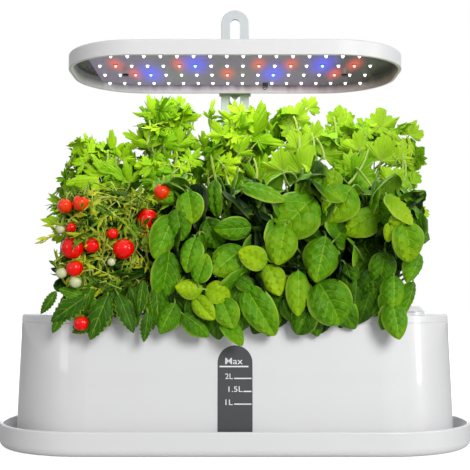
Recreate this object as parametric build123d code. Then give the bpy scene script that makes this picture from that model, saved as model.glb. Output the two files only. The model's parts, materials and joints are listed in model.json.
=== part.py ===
from build123d import *
import math
import os

os.makedirs("parts", exist_ok=True)

# Countertop hydroponic garden: a drip tray, a water tank with a level window, a deck with ten
# pods, a slotted pole and a grow lamp that slides on it. Millimetres, +Z up, the front faces -Y.
# The origin is the middle of the tray's underside.

# Drip tray, a stadium round the tank's foot
tray_channel_ends = 11.0  # from the tank's foot to the tray's wall
tray_channel_sides = 7.65
tray_height = 20.0
tray_wall = 3.0
tray_floor = 3.0
tray_edge_radius = 6.0  # rounding where the wall meets the underside
tray_rim_radius = 1.2

# Water tank, a stadium that widens downwards
tank_length = 367.4  # at the deck's top face
tank_depth = 131.0
deck_top = 111.0
tank_slope = 0.0363  # each side moves out by this much per millimetre down
tank_wall = 2.8
tank_floor_top = 20.0
tank_floor_thickness = 3.0
tank_rib = 2.0
tank_rib_depth = 8.0
foot_spacing_x = 250.0
foot_spacing_y = 72.0
foot_radius = 8.0
foot_height = 3.5
foot_proud = 2.0  # what stands out of the boss
foot_boss_radius = 11.0
foot_gap = 0.1

# Level window in the front wall
window_width = 28.0
window_height = 66.0  # up the wall, from the window's lower edge to the top of its arch
window_above_floor = 1.0
window_inset = 0.3
window_gap = 0.1
window_flange = 4.0
window_flange_thickness = 1.6
window_floor_gap = 0.4  # between the window's flange and the tank floor
window_apron = 4.4  # how far the pane's face runs down the wall below the opening
window_apron_depth = 1.2
gasket_thickness = 1.0

# Deck
deck_rim = 6.5  # height of the deck's own wall, down to the parting line
deck_plate = 2.6
deck_edge_radius = 1.5
parting_groove = 0.4
lip_depth = 8.0
lip_wall = 1.8
lip_gap = 0.4

# Pods: front and back rows of five
pod_count = 5
pod_pitch = 60.0
pod_front_y = -35.0
pod_back_y = 20.0
basket_radius = 15.2  # just under the deck
basket_gap = 0.3  # round the cup in its hole
basket_foot_radius = 12.2
basket_depth = 52.0
basket_wall = 1.4
basket_flange_radius = 18.5
basket_flange = 1.6
basket_collar = 7.9  # ribbed collar above the flange
basket_rib = 0.8
basket_rib_steps = 6
basket_slot = 3.0
basket_slot_count = 6
basket_slot_above_foot = 6.0
basket_slot_below_deck = 14.0
basket_drain_radius = 3.0
sponge_depth = 27.0  # how far the sponge reaches below the deck
sponge_gap = 0.2
sponge_below_collar = 1.0

# Fill port
port_x = 148.5
port_y = -5.0
port_bore_radius = 11.0
port_tube_wall = 1.4
port_tube_gap = 0.1
port_flange_radius = 15.5
port_flange = 2.0
lid_thickness = 4.4
lid_edge_radius = 1.5
lid_tab_width = 10.0
lid_tab_reach = 2.5
lid_tab_thickness = 1.4
lid_top_radius = 11.0
lid_gap = 0.2
lid_plug_radius = 10.4
lid_plug_depth = 2.8
hinge_reach = 18.0  # from the port's centre back to the pin
hinge_radius = 2.0
hinge_width = 9.0
hinge_side_gap = 0.2
hinge_ear = 2.4
pin_radius = 0.9
pin_running_gap = 0.05
pin_seat_gap = 0.02

# Pump, standing on the tank floor
pump_width = 40.0
pump_length = 30.0
pump_height = 30.0
pump_y = -3.0
pump_foot_radius = 5.0
pump_foot_height = 4.0
pump_foot_rim = 1.4
pump_foot_stem_radius = 2.2
chamber_radius = 12.0
chamber_depth = 10.0
rotor_radius = 5.0
rotor_length = 13.0
rotor_gap = 0.5
rotor_disc = 2.0
rotor_hub_radius = 3.0
vane_thickness = 1.4
impeller_gap = 1.5  # round the vanes in the chamber
shaft_radius = 1.2
shaft_gap = 0.05
shaft_seat = 2.0
vane_count = 6
plate_thickness = 2.0
pump_corner = 4.0
inlet_count = 4
inlet_radius = 2.4
inlet_ring_radius = 5.5
grille_depth = 7.0
grille_wall = 1.6
grille_slits = 7
grille_slit = 2.2
grille_slit_pitch = 4.6
grille_margin = 5.0
filter_thickness = 4.0
filter_gap = 0.3
spout_radius = 4.0
spout_bore = 2.8
spout_height = 6.0
pipe_wall = 1.2
pipe_top = 92.0

# Pole
pole_width = 26.2
pole_thickness = 4.0
pole_top = 396.7
pole_slot = 9.2
pole_slot_low = 152.0
pole_edge_radius = 0.6
pole_front_y = 53.8

# Pole socket on the deck
socket_width = 34.0
socket_front_wall = 5.0
socket_rear_wall = 3.2
socket_height = 34.0
socket_flange_width = 54.0
socket_flange = 3.0
socket_gap = 0.15
socket_floor_gap = 0.5  # between the pole's foot and the deck
socket_edge_radius = 2.0
socket_flange_corner = 3.0
socket_screw_spacing = 44.0
pole_screw_spacing = 16.0
screw_radius = 1.5
screw_head_radius = 2.8
screw_head = 1.8
screw_hole_gap = 0.1
screw_seat_gap = 0.05
blind_wall = 1.2  # left above or below a blind screw hole in the lamp
boss_wall = 2.2
boss_depth = 8.0
socket_screw_depth = 6.0  # below the deck's plate
pole_screw_below_top = 9.0
pole_screw_cover = 1.0  # socket wall left behind the screws

# Grow lamp
lamp_length = 281.0
lamp_depth = 145.4
lamp_corner = 60.0
lamp_low = 316.0
lamp_band = 12.7
lamp_wall = 3.0
lamp_top_wall = 2.0
lamp_edge_radius = 1.5
lamp_rim_radius = 0.6
bracket_front_wall = 2.8
bracket_rear_wall = 2.2
bracket_side_wall = 1.5
bracket_gap = 0.2
bracket_below_lamp = 1.0
bracket_above_lamp = 8.0
bracket_flange_length = 16.0
bracket_flange_width = 34.0
bracket_flange = 2.4
bracket_edge_radius = 1.2
tongue_width = 8.6
tongue_drop = 4.4
tongue_below_top = 4.0
cover_recess = 1.8
cover_thickness = 1.0
cover_gap = 0.3
board_below_top = 2.1
board_thickness = 1.4
board_length = 244.0
spacer_radius = 3.5
clip_pitch = 22.5
clip_count = 9
clip_width = 3.0
clip_proud = 0.8
clip_height = 0.9
cover_screw_y = -20.0
cover_screw_columns = 7  # LED pitches from the middle
cover_screw_head = 1.4

# LEDs: four rows on one pitch
led_pitch = 13.55
led_row_pitch = 33.0
led_rows_middle_y = -16.5
led_length = 3.5
led_width = 2.8
led_height = 0.8
led_rows = ["W" * 16, "WRWWWRBWWWRWRWBWRW", "WWRBWWWWRWWBWWWRWW", "W" * 18]

# Height clamp
stud_radius = 2.5
stud_gap = 0.2
clamp_above_lamp = 1.5  # stud's axis above the lamp's top face
nut_across_flats = 8.0
nut_thickness = 2.0
nut_gap = 0.1
knob_radius = 12.0
knob_length = 10.0
knob_lobes = 6
knob_lobe_radius = 2.6
knob_lobe_reach = 0.6  # the lobe cuts' centres beyond the knob's edge
knob_edge_radius = 1.0
knob_gap = 0.3
stud_end_gap = 0.6

# Lamp controls on the housing's top face
pod_box_length = 90.0
pod_box_depth = 30.0
pod_box_height = 11.0
pod_box_wall = 1.6
pod_box_corner = 6.0
pod_box_edge_radius = 1.5
pod_box_y = 16.0
standoff_height = 1.5
standoff_radius = 2.2
standoff_inset = 3.5  # from the board's ends
control_board_gap = 1.1  # between the board and the power inlet
control_board_depth = 22.0
control_board_thickness = 1.6
switch_size = 6.0
switch_height = 2.0
button_side_gap = 1.1  # between a button's flange and the standoff beside it
button_radius = 5.0
button_gap = 0.25
button_flange = 1.2
button_flange_thickness = 1.5
button_flange_gap = 0.3
button_edge_radius = 0.6
button_stem_radius = 1.5
button_proud = 1.2
button_travel_gap = 1.3
jack_radius = 3.4
jack_bore = 2.75
jack_pin = 1.0
jack_length = 11.2
jack_proud = 0.3
jack_gap = 0.05
jack_floor = 1.7
jack_pin_inset = 2.0
driver_size = (7.0, 12.0, 3.0)
grommet_x = 28.0
grommet_radius = 1.9
grommet_wall = 0.7
grommet_flange = 1.2
grommet_inside = 0.8
connector_size = (5.0, 7.0, 3.8)
connector_gap = 1.5

# Plants: each crown is a rounded block that leaves leaf_gap to its neighbours
leaf_gap = 1.0
plant_front_y = -96.0
plant_middle_y = -7.0
plant_back_y = 46.0
front_crown_edges = [-147.0, -66.0, -12.0, 44.0, 102.0, 154.0]
back_crown_edges = [-158.0, -88.0, -31.0, 31.0, 88.0, 168.0]
front_crown_low = 124.0
front_crown_tops = [214.0, 218.0, 222.0, 226.0, 216.0]
back_crown_low = 126.0
back_crown_tops = [266.0, 302.0, 300.0, 298.0, 284.0]
right_crown_low = 154.0  # keeps the fill lid's swing free
stem_radius = 3.0
crown_power = 5.0
crown_lump = 0.14  # depth of the hollows between its clusters of leaves
tomato_lump = 0.06  # flatter, so that the tomatoes nest evenly
crown_columns = 14
crown_rings = 8
fruit_gap = 0.3
fruit_proud = 0.6  # share of its radius that a tomato stands out of the foliage
fruits = [  # x, z and radius of each tomato
    (-133.6, 197.1, 6.0), (-120.7, 199.1, 6.7), (-127.9, 179.6, 4.1), (-127.1, 164.1, 9.0),
    (-111.6, 166.0, 6.2), (-125.0, 148.0, 6.8), (-95.6, 175.0, 4.6), (-87.1, 163.4, 8.6),
    (-70.0, 187.4, 8.9), (-68.6, 172.0, 5.6), (-65.6, 138.3, 6.5), (-58.0, 209.0, 6.6),
]
hanging_fruit = (-120.7, -84.0, 105.0, 6.0)  # x, y, z and radius of the one beside the tank
truss_radius = 1.2
truss_top = 150.0

cut = 1.0  # how far a cutting solid runs past the face it cuts

# Places worked out from the sizes above
parting = deck_top - deck_rim
tank_low = tray_floor + foot_proud
tank_under = tank_floor_top - tank_floor_thickness
tank_spread = tank_slope * (deck_top - tank_low)  # how far the foot stands out from the deck's edge
tray_length = tank_length + 2 * (tank_spread + tray_channel_ends + tray_wall)
tray_depth = tank_depth + 2 * (tank_spread + tray_channel_sides + tray_wall)
under_deck = deck_top - deck_plate
pod_columns = [pod_pitch * (i - (pod_count - 1) / 2) for i in range(pod_count)]
pod_places = [(x, y) for y in (pod_front_y, pod_back_y) for x in pod_columns]
collar_top = deck_top + basket_flange + basket_collar
sponge_top = collar_top - sponge_below_collar
lamp_high = lamp_low + lamp_band
bracket_front_y = pole_front_y - bracket_gap - bracket_front_wall
lamp_y = bracket_front_y - lamp_depth / 2
pole_rear_y = pole_front_y + pole_thickness
jack_right = pod_box_length / 2 + jack_proud
jack_left = jack_right - jack_length
control_board_length = 2 * (jack_left - control_board_gap)
standoff_spacing = control_board_length - 2 * standoff_inset
button_reach = button_radius + button_flange
button_pitch = standoff_spacing / 2 - standoff_radius - button_side_gap - button_reach
bracket_rear_y = pole_rear_y + bracket_gap + bracket_rear_wall
bracket_low = lamp_low - bracket_below_lamp
bracket_high = lamp_high + bracket_above_lamp
clamp_z = lamp_high + clamp_above_lamp
under_lamp_top = lamp_high - lamp_top_wall
board_high = under_lamp_top - board_below_top
board_low = board_high - board_thickness
bracket_screw_low = under_lamp_top + 0.4
cover_low = lamp_low + cover_recess
cover_high = cover_low + cover_thickness
cover_screw_x = led_pitch * cover_screw_columns
pump_low = tank_floor_top + pump_foot_height
pump_axis_z = pump_low + pump_height / 2
pump_front_y = pump_y - pump_length / 2
plate_front_y = pump_front_y - plate_thickness


def tank_outline(z, inset=0.0):
    """Stadium section of the tank's outer wall at height z, moved inwards by inset."""
    grow = 2 * (tank_slope * (deck_top - z) - inset)
    return Plane.XY.offset(z) * SlotOverall(tank_length + grow, tank_depth + grow)


def tank_block(low, high, inset=0.0):
    """Solid between two heights that follows the tank's sloping wall."""
    return loft([tank_outline(low, inset), tank_outline(high, inset)], ruled=True)


def disc(x, y, low, high, radius):
    """Upright cylinder between two heights."""
    return Pos(x, y, (low + high) / 2) * Cylinder(radius, high - low)


def block(low, high):
    """Box between two corners."""
    size = [b - a for a, b in zip(low, high)]
    middle = [(a + b) / 2 for a, b in zip(low, high)]
    return Pos(*middle) * Box(*size)


def rod(x, z, front, back, radius):
    """Cylinder along Y between two Y values."""
    return Pos(x, (front + back) / 2, z) * Rot(90, 0, 0) * Cylinder(radius, back - front)


def cross_rod(y, z, left, right, radius):
    """Cylinder along X between two X values."""
    return Pos((left + right) / 2, y, z) * Rot(0, 90, 0) * Cylinder(radius, right - left)


def make_tray():
    tray = extrude(SlotOverall(tray_length, tray_depth), tray_height)
    tray = fillet(tray.faces().sort_by(Axis.Z)[0].edges(), tray_edge_radius)
    inner = SlotOverall(tray_length - 2 * tray_wall, tray_depth - 2 * tray_wall)
    hollow = extrude(Plane.XY.offset(tray_floor) * inner, tray_height)
    hollow = fillet(hollow.faces().sort_by(Axis.Z)[0].edges(), tray_edge_radius - tray_wall)
    tray -= hollow
    return fillet(tray.faces().sort_by(Axis.Z)[-1].edges(), tray_rim_radius)


def window_plane():
    """Plane on the sloping front wall: X across, Y up the wall, Z out of it."""
    low = tank_floor_top + window_above_floor
    front = tank_depth / 2 + tank_slope * (deck_top - low)
    return Plane(origin=(0, -front, low), x_dir=(1, 0, 0), z_dir=(0, -1, tank_slope))


def arch(grow, out, into):
    """Arched plate in the front wall, grown by a margin, from depth out to depth into."""
    width = window_width + 2 * grow
    low = max(-grow, window_floor_gap - window_above_floor)
    straight_top = window_height - window_width / 2
    flat = Pos(0, (low + straight_top) / 2) * Rectangle(width, straight_top - low)
    shape = flat + Pos(0, straight_top) * Circle(width / 2)
    plane = window_plane().offset(-out)
    return extrude(plane * shape, out - into)


def apron(grow, out, into):
    """Plate let into the wall's outer face below the opening, as wide as the window."""
    low = -window_apron - grow
    high = window_apron_depth
    flat = Pos(0, (low + high) / 2) * Rectangle(window_width + 2 * grow, high - low)
    plane = window_plane().offset(-out)
    return extrude(plane * flat, out - into)


def foot_places():
    for x in (-foot_spacing_x / 2, foot_spacing_x / 2):
        for y in (-foot_spacing_y / 2, foot_spacing_y / 2):
            yield x, y


def make_tank():
    tank = tank_block(tank_low, parting)
    top_edges = tank.faces().sort_by(Axis.Z)[-1].edges()
    tank = chamfer(top_edges, parting_groove)
    tank -= tank_block(tank_floor_top, parting + cut, tank_wall)
    tank -= tank_block(tank_low - cut, tank_under, tank_wall)
    rib_low = tank_under - tank_rib_depth
    half = tank_length / 2 - tank_wall
    tank += block((-half, -tank_rib / 2, rib_low), (half, tank_rib / 2, tank_under))
    for x in (-foot_spacing_x / 4, foot_spacing_x / 4):
        reach = tank_depth / 2 - tank_wall
        tank += block((x - tank_rib / 2, -reach, rib_low), (x + tank_rib / 2, reach, tank_under))
    for x, y in foot_places():
        tank += disc(x, y, tank_low, tank_under, foot_boss_radius)
        seat = tank_low + foot_height - foot_proud
        tank -= disc(x, y, tank_low - cut, seat, foot_radius + foot_gap)
    tank -= apron(0.0, -cut, window_apron_depth + window_gap)
    return tank - arch(0.0, -cut, tank_wall + cut)


def make_tank_feet():
    return [disc(x, y, tray_floor, tray_floor + foot_height, foot_radius) for x, y in foot_places()]


def make_window():
    glass = arch(-window_gap, window_inset, tank_wall + gasket_thickness)
    glass += apron(-window_gap, window_inset, window_apron_depth)
    depth = tank_wall + gasket_thickness
    return glass + arch(window_flange, depth, depth + window_flange_thickness)


def make_gasket():
    depth = tank_wall + gasket_thickness
    return arch(window_flange, tank_wall, depth) - arch(window_gap, tank_wall - cut, depth + cut)


def make_deck():
    deck = tank_block(parting, deck_top)
    faces = deck.faces().sort_by(Axis.Z)
    deck = fillet(faces[-1].edges(), deck_edge_radius)
    deck = chamfer(deck.faces().sort_by(Axis.Z)[0].edges(), parting_groove)
    deck -= tank_block(parting - cut, under_deck, tank_wall)
    grow = 2 * (tank_slope * deck_rim - tank_wall - lip_gap)
    lip_height = lip_depth + deck_rim - deck_plate
    lip_plane = Plane.XY.offset(parting - lip_depth)
    lip = extrude(lip_plane * SlotOverall(tank_length + grow, tank_depth + grow), lip_height)
    grow -= 2 * lip_wall
    lip -= extrude(lip_plane * SlotOverall(tank_length + grow, tank_depth + grow), lip_height)
    deck += lip
    for x, y in pod_places:
        deck -= disc(x, y, under_deck - cut, deck_top + cut, basket_radius + basket_gap)
    tube_radius = port_bore_radius + port_tube_wall
    deck -= disc(port_x, port_y, under_deck - cut, deck_top + cut, tube_radius + port_tube_gap)
    for side in (-1, 1):
        x = side * socket_screw_spacing / 2
        boss_low = under_deck - boss_depth
        deck += disc(x, socket_middle_y(), boss_low, under_deck, screw_radius + boss_wall)
        hole_low = under_deck - socket_screw_depth - cut
        deck -= disc(x, socket_middle_y(), hole_low, deck_top + cut, screw_radius + screw_seat_gap)
    return deck


def make_fill_collar():
    tube_radius = port_bore_radius + port_tube_wall
    collar = disc(port_x, port_y, deck_top - deck_rim, deck_top, tube_radius)
    collar += disc(port_x, port_y, deck_top, deck_top + port_flange, port_flange_radius)
    ear = hinge_width / 2 + hinge_side_gap
    tab_y = port_y + hinge_reach + hinge_radius
    tab_low = (port_x - ear - hinge_ear, port_y, deck_top)
    collar += block(tab_low, (port_x + ear + hinge_ear, tab_y, deck_top + port_flange))
    for side in (-1, 1):
        inner = port_x + side * ear
        outer = port_x + side * (ear + hinge_ear)
        left = min(inner, outer)
        right = max(inner, outer)
        collar += cross_rod(port_y + hinge_reach, hinge_z(), left, right, hinge_radius)
        cheek_low = (left, port_y + hinge_reach - hinge_radius, deck_top)
        collar += block(cheek_low, (right, tab_y, hinge_z()))
    flange_top = deck_top + port_flange
    collar -= disc(port_x, port_y, deck_top - deck_rim - cut, flange_top + cut, port_bore_radius)
    reach = ear + hinge_ear + cut
    hole = pin_radius + pin_seat_gap
    pin_hole = cross_rod(port_y + hinge_reach, hinge_z(), port_x - reach, port_x + reach, hole)
    return collar - pin_hole


def hinge_z():
    return deck_top + port_flange + lid_gap + hinge_radius


def make_fill_lid():
    low = deck_top + port_flange + lid_gap
    lower = Plane.XY.offset(low) * Pos(port_x, port_y) * Circle(port_flange_radius)
    upper = Plane.XY.offset(low + lid_thickness) * Pos(port_x, port_y) * Circle(lid_top_radius)
    lid = loft([lower, upper], ruled=True)
    lid = fillet(lid.faces().sort_by(Axis.Z)[-1].edges(), lid_edge_radius)
    lid += disc(port_x, port_y, low - lid_plug_depth, low, lid_plug_radius)
    half = hinge_width / 2
    hinge_y = port_y + hinge_reach
    lid += block((port_x - half, port_y, low), (port_x + half, hinge_y, low + 2 * hinge_radius))
    lid += cross_rod(hinge_y, hinge_z(), port_x - half, port_x + half, hinge_radius)
    hole = pin_radius + pin_running_gap
    lid -= cross_rod(hinge_y, hinge_z(), port_x - half - cut, port_x + half + cut, hole)
    half = lid_tab_width / 2
    tab_low = (port_x - half, port_y - port_flange_radius - lid_tab_reach, low)
    return lid + block(tab_low, (port_x + half, port_y - lid_plug_radius, low + lid_tab_thickness))


def make_lid_pin():
    half = hinge_width / 2 + hinge_side_gap + hinge_ear
    return cross_rod(port_y + hinge_reach, hinge_z(), port_x - half, port_x + half, pin_radius)


def make_basket(x, y):
    """Net pot: a ribbed collar and a flange on the deck, a slotted cup below it."""
    foot_z = deck_top - basket_depth
    flange_top = deck_top + basket_flange
    rib_step = basket_collar / basket_rib_steps
    inner = basket_radius - basket_wall
    half = [(0, foot_z), (basket_foot_radius, foot_z), (basket_radius, deck_top)]
    half += [(basket_flange_radius, deck_top), (basket_flange_radius, flange_top)]
    collar_radius = basket_radius + basket_wall
    for i in range(basket_rib_steps):
        radius = collar_radius + (basket_rib if i % 2 else 0.0)
        half += [(radius, flange_top + i * rib_step), (radius, flange_top + (i + 1) * rib_step)]
    half += [(inner, collar_top), (inner, deck_top)]
    half += [(basket_foot_radius - basket_wall, foot_z + basket_wall), (0, foot_z + basket_wall)]
    profile = make_face(Polyline([(r, 0, z) for r, z in half], close=True))
    pot = revolve(profile, Axis.Z)
    reach = basket_radius + cut
    for i in range(basket_slot_count // 2):
        slot_low = (-reach, -basket_slot / 2, foot_z + basket_slot_above_foot)
        slot = block(slot_low, (reach, basket_slot / 2, deck_top - basket_slot_below_deck))
        pot -= Rot(0, 0, 360 * i / basket_slot_count) * slot
    pot -= disc(0, 0, foot_z - cut, foot_z + basket_wall + cut, basket_drain_radius)
    return Pos(x, y, 0) * pot


def make_sponge(x, y):
    inner = basket_radius - basket_wall
    foot = basket_foot_radius - basket_wall
    low = deck_top - sponge_depth
    taper = (inner - foot) / (basket_depth - basket_wall)
    low_radius = inner - taper * sponge_depth - sponge_gap
    radius = inner - sponge_gap
    half = [(0, low), (low_radius, low), (radius, deck_top), (radius, sponge_top), (0, sponge_top)]
    profile = make_face(Polyline([(r, 0, z) for r, z in half], close=True))
    return Pos(x, y, 0) * revolve(profile, Axis.Z)


def make_pump():
    """Pump pieces: the impeller turns on a fixed shaft along Y."""
    half = pump_width / 2
    back_y = pump_y + pump_length / 2
    rotor_back_y = pump_front_y + chamber_depth + rotor_length
    housing = block((-half, pump_front_y, pump_low), (half, back_y, pump_low + pump_height))
    housing = fillet(housing.edges().filter_by(Axis.Y), pump_corner)
    chamber_back_y = pump_front_y + chamber_depth
    housing -= rod(0, pump_axis_z, pump_front_y - cut, chamber_back_y, chamber_radius)
    housing -= rod(0, pump_axis_z, pump_front_y, rotor_back_y + rotor_gap, rotor_radius + rotor_gap)
    shaft_back_y = rotor_back_y + rotor_gap + shaft_seat
    housing -= rod(0, pump_axis_z, pump_front_y, shaft_back_y, shaft_radius + pin_seat_gap)
    spout_y = pump_front_y + chamber_depth / 2
    spout_low = pump_low + pump_height
    housing += disc(0, spout_y, spout_low, spout_low + spout_height, spout_radius)
    housing -= disc(0, spout_y, pump_axis_z, spout_low + spout_height + cut, spout_bore)

    shaft = rod(0, pump_axis_z, plate_front_y, shaft_back_y, shaft_radius)

    disc_back = chamber_back_y - rotor_gap
    disc_front = disc_back - rotor_disc
    vane_radius = chamber_radius - impeller_gap
    rotor = rod(0, pump_axis_z, disc_front, rotor_back_y, rotor_radius)
    rotor += rod(0, pump_axis_z, disc_front, disc_back, vane_radius)
    vane_front = pump_front_y + rotor_gap
    half = vane_thickness / 2
    for i in range(vane_count):
        vane = block((shaft_radius, vane_front, -half), (vane_radius, disc_front, half))
        rotor += Pos(0, 0, pump_axis_z) * Rot(0, 360 * i / vane_count, 0) * vane
    rotor += rod(0, pump_axis_z, vane_front, disc_front, rotor_hub_radius)
    rotor -= rod(0, pump_axis_z, vane_front - cut, rotor_back_y + cut, shaft_radius + shaft_gap)

    half = pump_width / 2
    plate_low = (-half, plate_front_y, pump_low)
    plate = block(plate_low, (half, pump_front_y, pump_low + pump_height))
    plate = fillet(plate.edges().filter_by(Axis.Y), pump_corner)
    through = (plate_front_y - cut, pump_front_y + cut)
    plate -= rod(0, pump_axis_z, *through, shaft_radius + pin_seat_gap)
    for i in range(inlet_count):
        inlet = rod(inlet_ring_radius, 0, *through, inlet_radius)
        plate -= Pos(0, 0, pump_axis_z) * Rot(0, 360 * (i + 0.5) / inlet_count, 0) * inlet

    grille_y = plate_front_y - grille_depth
    grille_low = (-half, grille_y, pump_low)
    grille = block(grille_low, (half, plate_front_y, pump_low + pump_height))
    grille = fillet(grille.edges().filter_by(Axis.Y), pump_corner)
    pocket = half - grille_wall
    pocket_low = (-pocket, grille_y + grille_wall, pump_low + grille_wall)
    pocket_top = pump_low + pump_height - grille_wall
    grille -= block(pocket_low, (pocket, plate_front_y + cut, pocket_top))
    slit_high = (grille_slit / 2, grille_y + grille_wall + cut, pump_low + pump_height - grille_margin)
    for i in range(grille_slits):
        slit = block((-grille_slit / 2, grille_y - cut, pump_low + grille_margin), slit_high)
        grille -= Pos(grille_slit_pitch * (i - (grille_slits - 1) / 2), 0, 0) * slit

    foam_back = plate_front_y - filter_gap
    foam_side = pocket - filter_gap
    foam_low = (-foam_side, foam_back - filter_thickness, pump_low + grille_wall + filter_gap)
    foam = block(foam_low, (foam_side, foam_back, pocket_top - filter_gap))

    cups = []
    rim_top = tank_floor_top + pump_foot_rim
    for x in (pump_foot_radius - half, half - pump_foot_radius):
        for y in (pump_front_y + pump_foot_radius, back_y - pump_foot_radius):
            cup = disc(x, y, tank_floor_top, rim_top, pump_foot_radius)
            cups.append(cup + disc(x, y, rim_top, pump_low, pump_foot_stem_radius))

    pipe_radius = spout_radius + shaft_gap
    pipe = disc(0, spout_y, spout_low, pipe_top, pipe_radius + pipe_wall)
    pipe -= disc(0, spout_y, spout_low - cut, pipe_top + cut, pipe_radius)
    return {
        "pump_housing": housing,
        "pump_shaft": shaft,
        "pump_impeller": rotor,
        "pump_chamber_plate": plate,
        "intake_grille": grille,
        "pump_filter": foam,
        "pump_feet": cups,
        "outlet_pipe": pipe,
    }


def upright_slot(width, low, high, front, back):
    """Upright plate with round ends in the XZ plane, between two Y values."""
    shape = Pos(0, (low + high) / 2) * Rot(0, 0, 90) * SlotOverall(high - low, width)
    return extrude(Plane.XZ.offset(-back) * shape, back - front)


def make_pole():
    """Slotted strip whose top is a half round about the slot's upper end."""
    half = pole_width / 2
    pole = upright_slot(pole_width, deck_top, pole_top, pole_front_y, pole_rear_y)
    foot_low = (-half, pole_front_y, deck_top + socket_floor_gap)
    pole &= block(foot_low, (half, pole_rear_y, pole_top + cut))
    foot_high = deck_top + socket_height / 2
    pole += block(foot_low, (half, pole_rear_y, foot_high))
    slot_top = pole_top - (pole_width - pole_slot) / 2
    slot_ends = (pole_front_y - cut, pole_rear_y + cut)
    pole -= upright_slot(pole_slot, pole_slot_low, slot_top, *slot_ends)
    for side in (-1, 1):
        x = side * pole_screw_spacing / 2
        hole = screw_radius + screw_hole_gap
        pole -= rod(x, pole_screw_z(), pole_front_y - cut, pole_rear_y + cut, hole)
    front_edges = pole.faces().sort_by(Axis.Y)[0].outer_wire().edges().filter_by(Axis.Z)
    return fillet(front_edges, pole_edge_radius)


def pole_screw_z():
    return deck_top + socket_height - pole_screw_below_top


def socket_front_y():
    return pole_front_y - socket_gap - socket_front_wall


def socket_back_y():
    return pole_rear_y + socket_gap + socket_rear_wall


def socket_middle_y():
    return (socket_front_y() + socket_back_y()) / 2


def make_socket():
    half = socket_width / 2
    low = (-half, socket_front_y(), deck_top)
    socket = block(low, (half, socket_back_y(), deck_top + socket_height))
    flange_low = (-socket_flange_width / 2, socket_front_y(), deck_top)
    flange_high = (socket_flange_width / 2, socket_back_y(), deck_top + socket_flange)
    socket = fillet(socket.edges().filter_by(Axis.Z), socket_edge_radius)
    flange = block(flange_low, flange_high)
    socket += fillet(flange.edges().filter_by(Axis.Z), socket_flange_corner)
    half = pole_width / 2 + socket_gap
    pocket_low = (-half, pole_front_y - socket_gap, deck_top + socket_floor_gap)
    pocket_high = (half, pole_rear_y + socket_gap, deck_top + socket_height + cut)
    socket -= block(pocket_low, pocket_high)
    for side in (-1, 1):
        x = side * socket_screw_spacing / 2
        hole_high = deck_top + socket_flange + cut
        socket -= disc(x, socket_middle_y(), deck_top - cut, hole_high, screw_radius + screw_hole_gap)
        x = side * pole_screw_spacing / 2
        front = socket_front_y() - cut
        back = socket_back_y() - pole_screw_cover
        socket -= rod(x, pole_screw_z(), front, back, screw_radius + screw_hole_gap)
    return socket


def make_socket_screws():
    screws = []
    top = deck_top + socket_flange
    for side in (-1, 1):
        x = side * socket_screw_spacing / 2
        screw = disc(x, socket_middle_y(), under_deck - socket_screw_depth, top, screw_radius)
        screws.append(screw + disc(x, socket_middle_y(), top, top + screw_head, screw_head_radius))
    return screws


def make_pole_screws():
    screws = []
    for side in (-1, 1):
        x = side * pole_screw_spacing / 2
        front = socket_front_y()
        back = socket_back_y() - pole_screw_cover - socket_gap
        screw = rod(x, pole_screw_z(), front, back, screw_radius)
        screws.append(screw + rod(x, pole_screw_z(), front - screw_head, front, screw_head_radius))
    return screws


def lamp_outline(z, inset=0.0):
    """Plan of the lamp at height z, moved inwards by inset."""
    plan = RectangleRounded(lamp_length - 2 * inset, lamp_depth - 2 * inset, lamp_corner - inset)
    return Plane.XY.offset(z) * Pos(0, lamp_y) * plan


def cover_screw_places():
    return [(-cover_screw_x, cover_screw_y), (cover_screw_x, cover_screw_y)]


def make_lamp_housing():
    housing = extrude(lamp_outline(lamp_low), lamp_band)
    housing = fillet(housing.faces().sort_by(Axis.Z)[-1].edges(), lamp_edge_radius)
    housing -= extrude(lamp_outline(lamp_low - cut, lamp_wall), lamp_band - lamp_top_wall + cut)
    housing = fillet(housing.faces().sort_by(Axis.Z)[0].edges(), lamp_rim_radius)
    for i in range(clip_count):
        x = clip_pitch * (i - (clip_count - 1) / 2)
        for side in (-1, 1):
            wall_y = lamp_y + side * (lamp_depth / 2 - lamp_wall)
            low = (x - clip_width / 2, wall_y - clip_proud, cover_low - clip_height)
            housing += block(low, (x + clip_width / 2, wall_y + clip_proud, cover_low))
    for x, y in cover_screw_places():
        housing += disc(x, y, board_high, under_lamp_top, spacer_radius)
        housing -= disc(x, y, board_high - cut, lamp_high - blind_wall, screw_radius + screw_seat_gap)
    for side in (-1, 1):
        x = side * standoff_spacing / 2
        housing += disc(x, pod_box_y, lamp_high, lamp_high + standoff_height, standoff_radius)
        x = side * bracket_flange_width / 4
        hole = screw_radius + screw_seat_gap
        housing -= disc(x, bracket_screw_y(), bracket_screw_low, lamp_high + cut, hole)
    hole_z = (cover_high + board_low) / 2
    rear = bracket_front_y
    hole = grommet_radius + screw_seat_gap
    housing -= rod(grommet_x, hole_z, rear - lamp_wall - cut, rear + cut, hole)
    return housing


def make_led_board():
    board = extrude(lamp_outline(board_low, lamp_wall + cover_gap), board_thickness)
    half = board_length / 2
    rear = bracket_front_y
    board &= block((-half, rear - lamp_depth, board_low), (half, rear, board_high))
    for x, y in cover_screw_places():
        board -= disc(x, y, board_low - cut, board_high + cut, screw_radius + screw_hole_gap)
    return board


def led_places(colour):
    """Centres of the LEDs of one colour letter."""
    for row, letters in enumerate(led_rows):
        y = led_rows_middle_y + led_row_pitch * (row - (len(led_rows) - 1) / 2)
        for column, letter in enumerate(letters):
            if letter == colour:
                yield led_pitch * (column - (len(letters) - 1) / 2), y


def make_leds(colour):
    chips = []
    for x, y in led_places(colour):
        low = (x - led_length / 2, y - led_width / 2, board_low - led_height)
        chips.append(block(low, (x + led_length / 2, y + led_width / 2, board_low)))
    return chips


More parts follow.
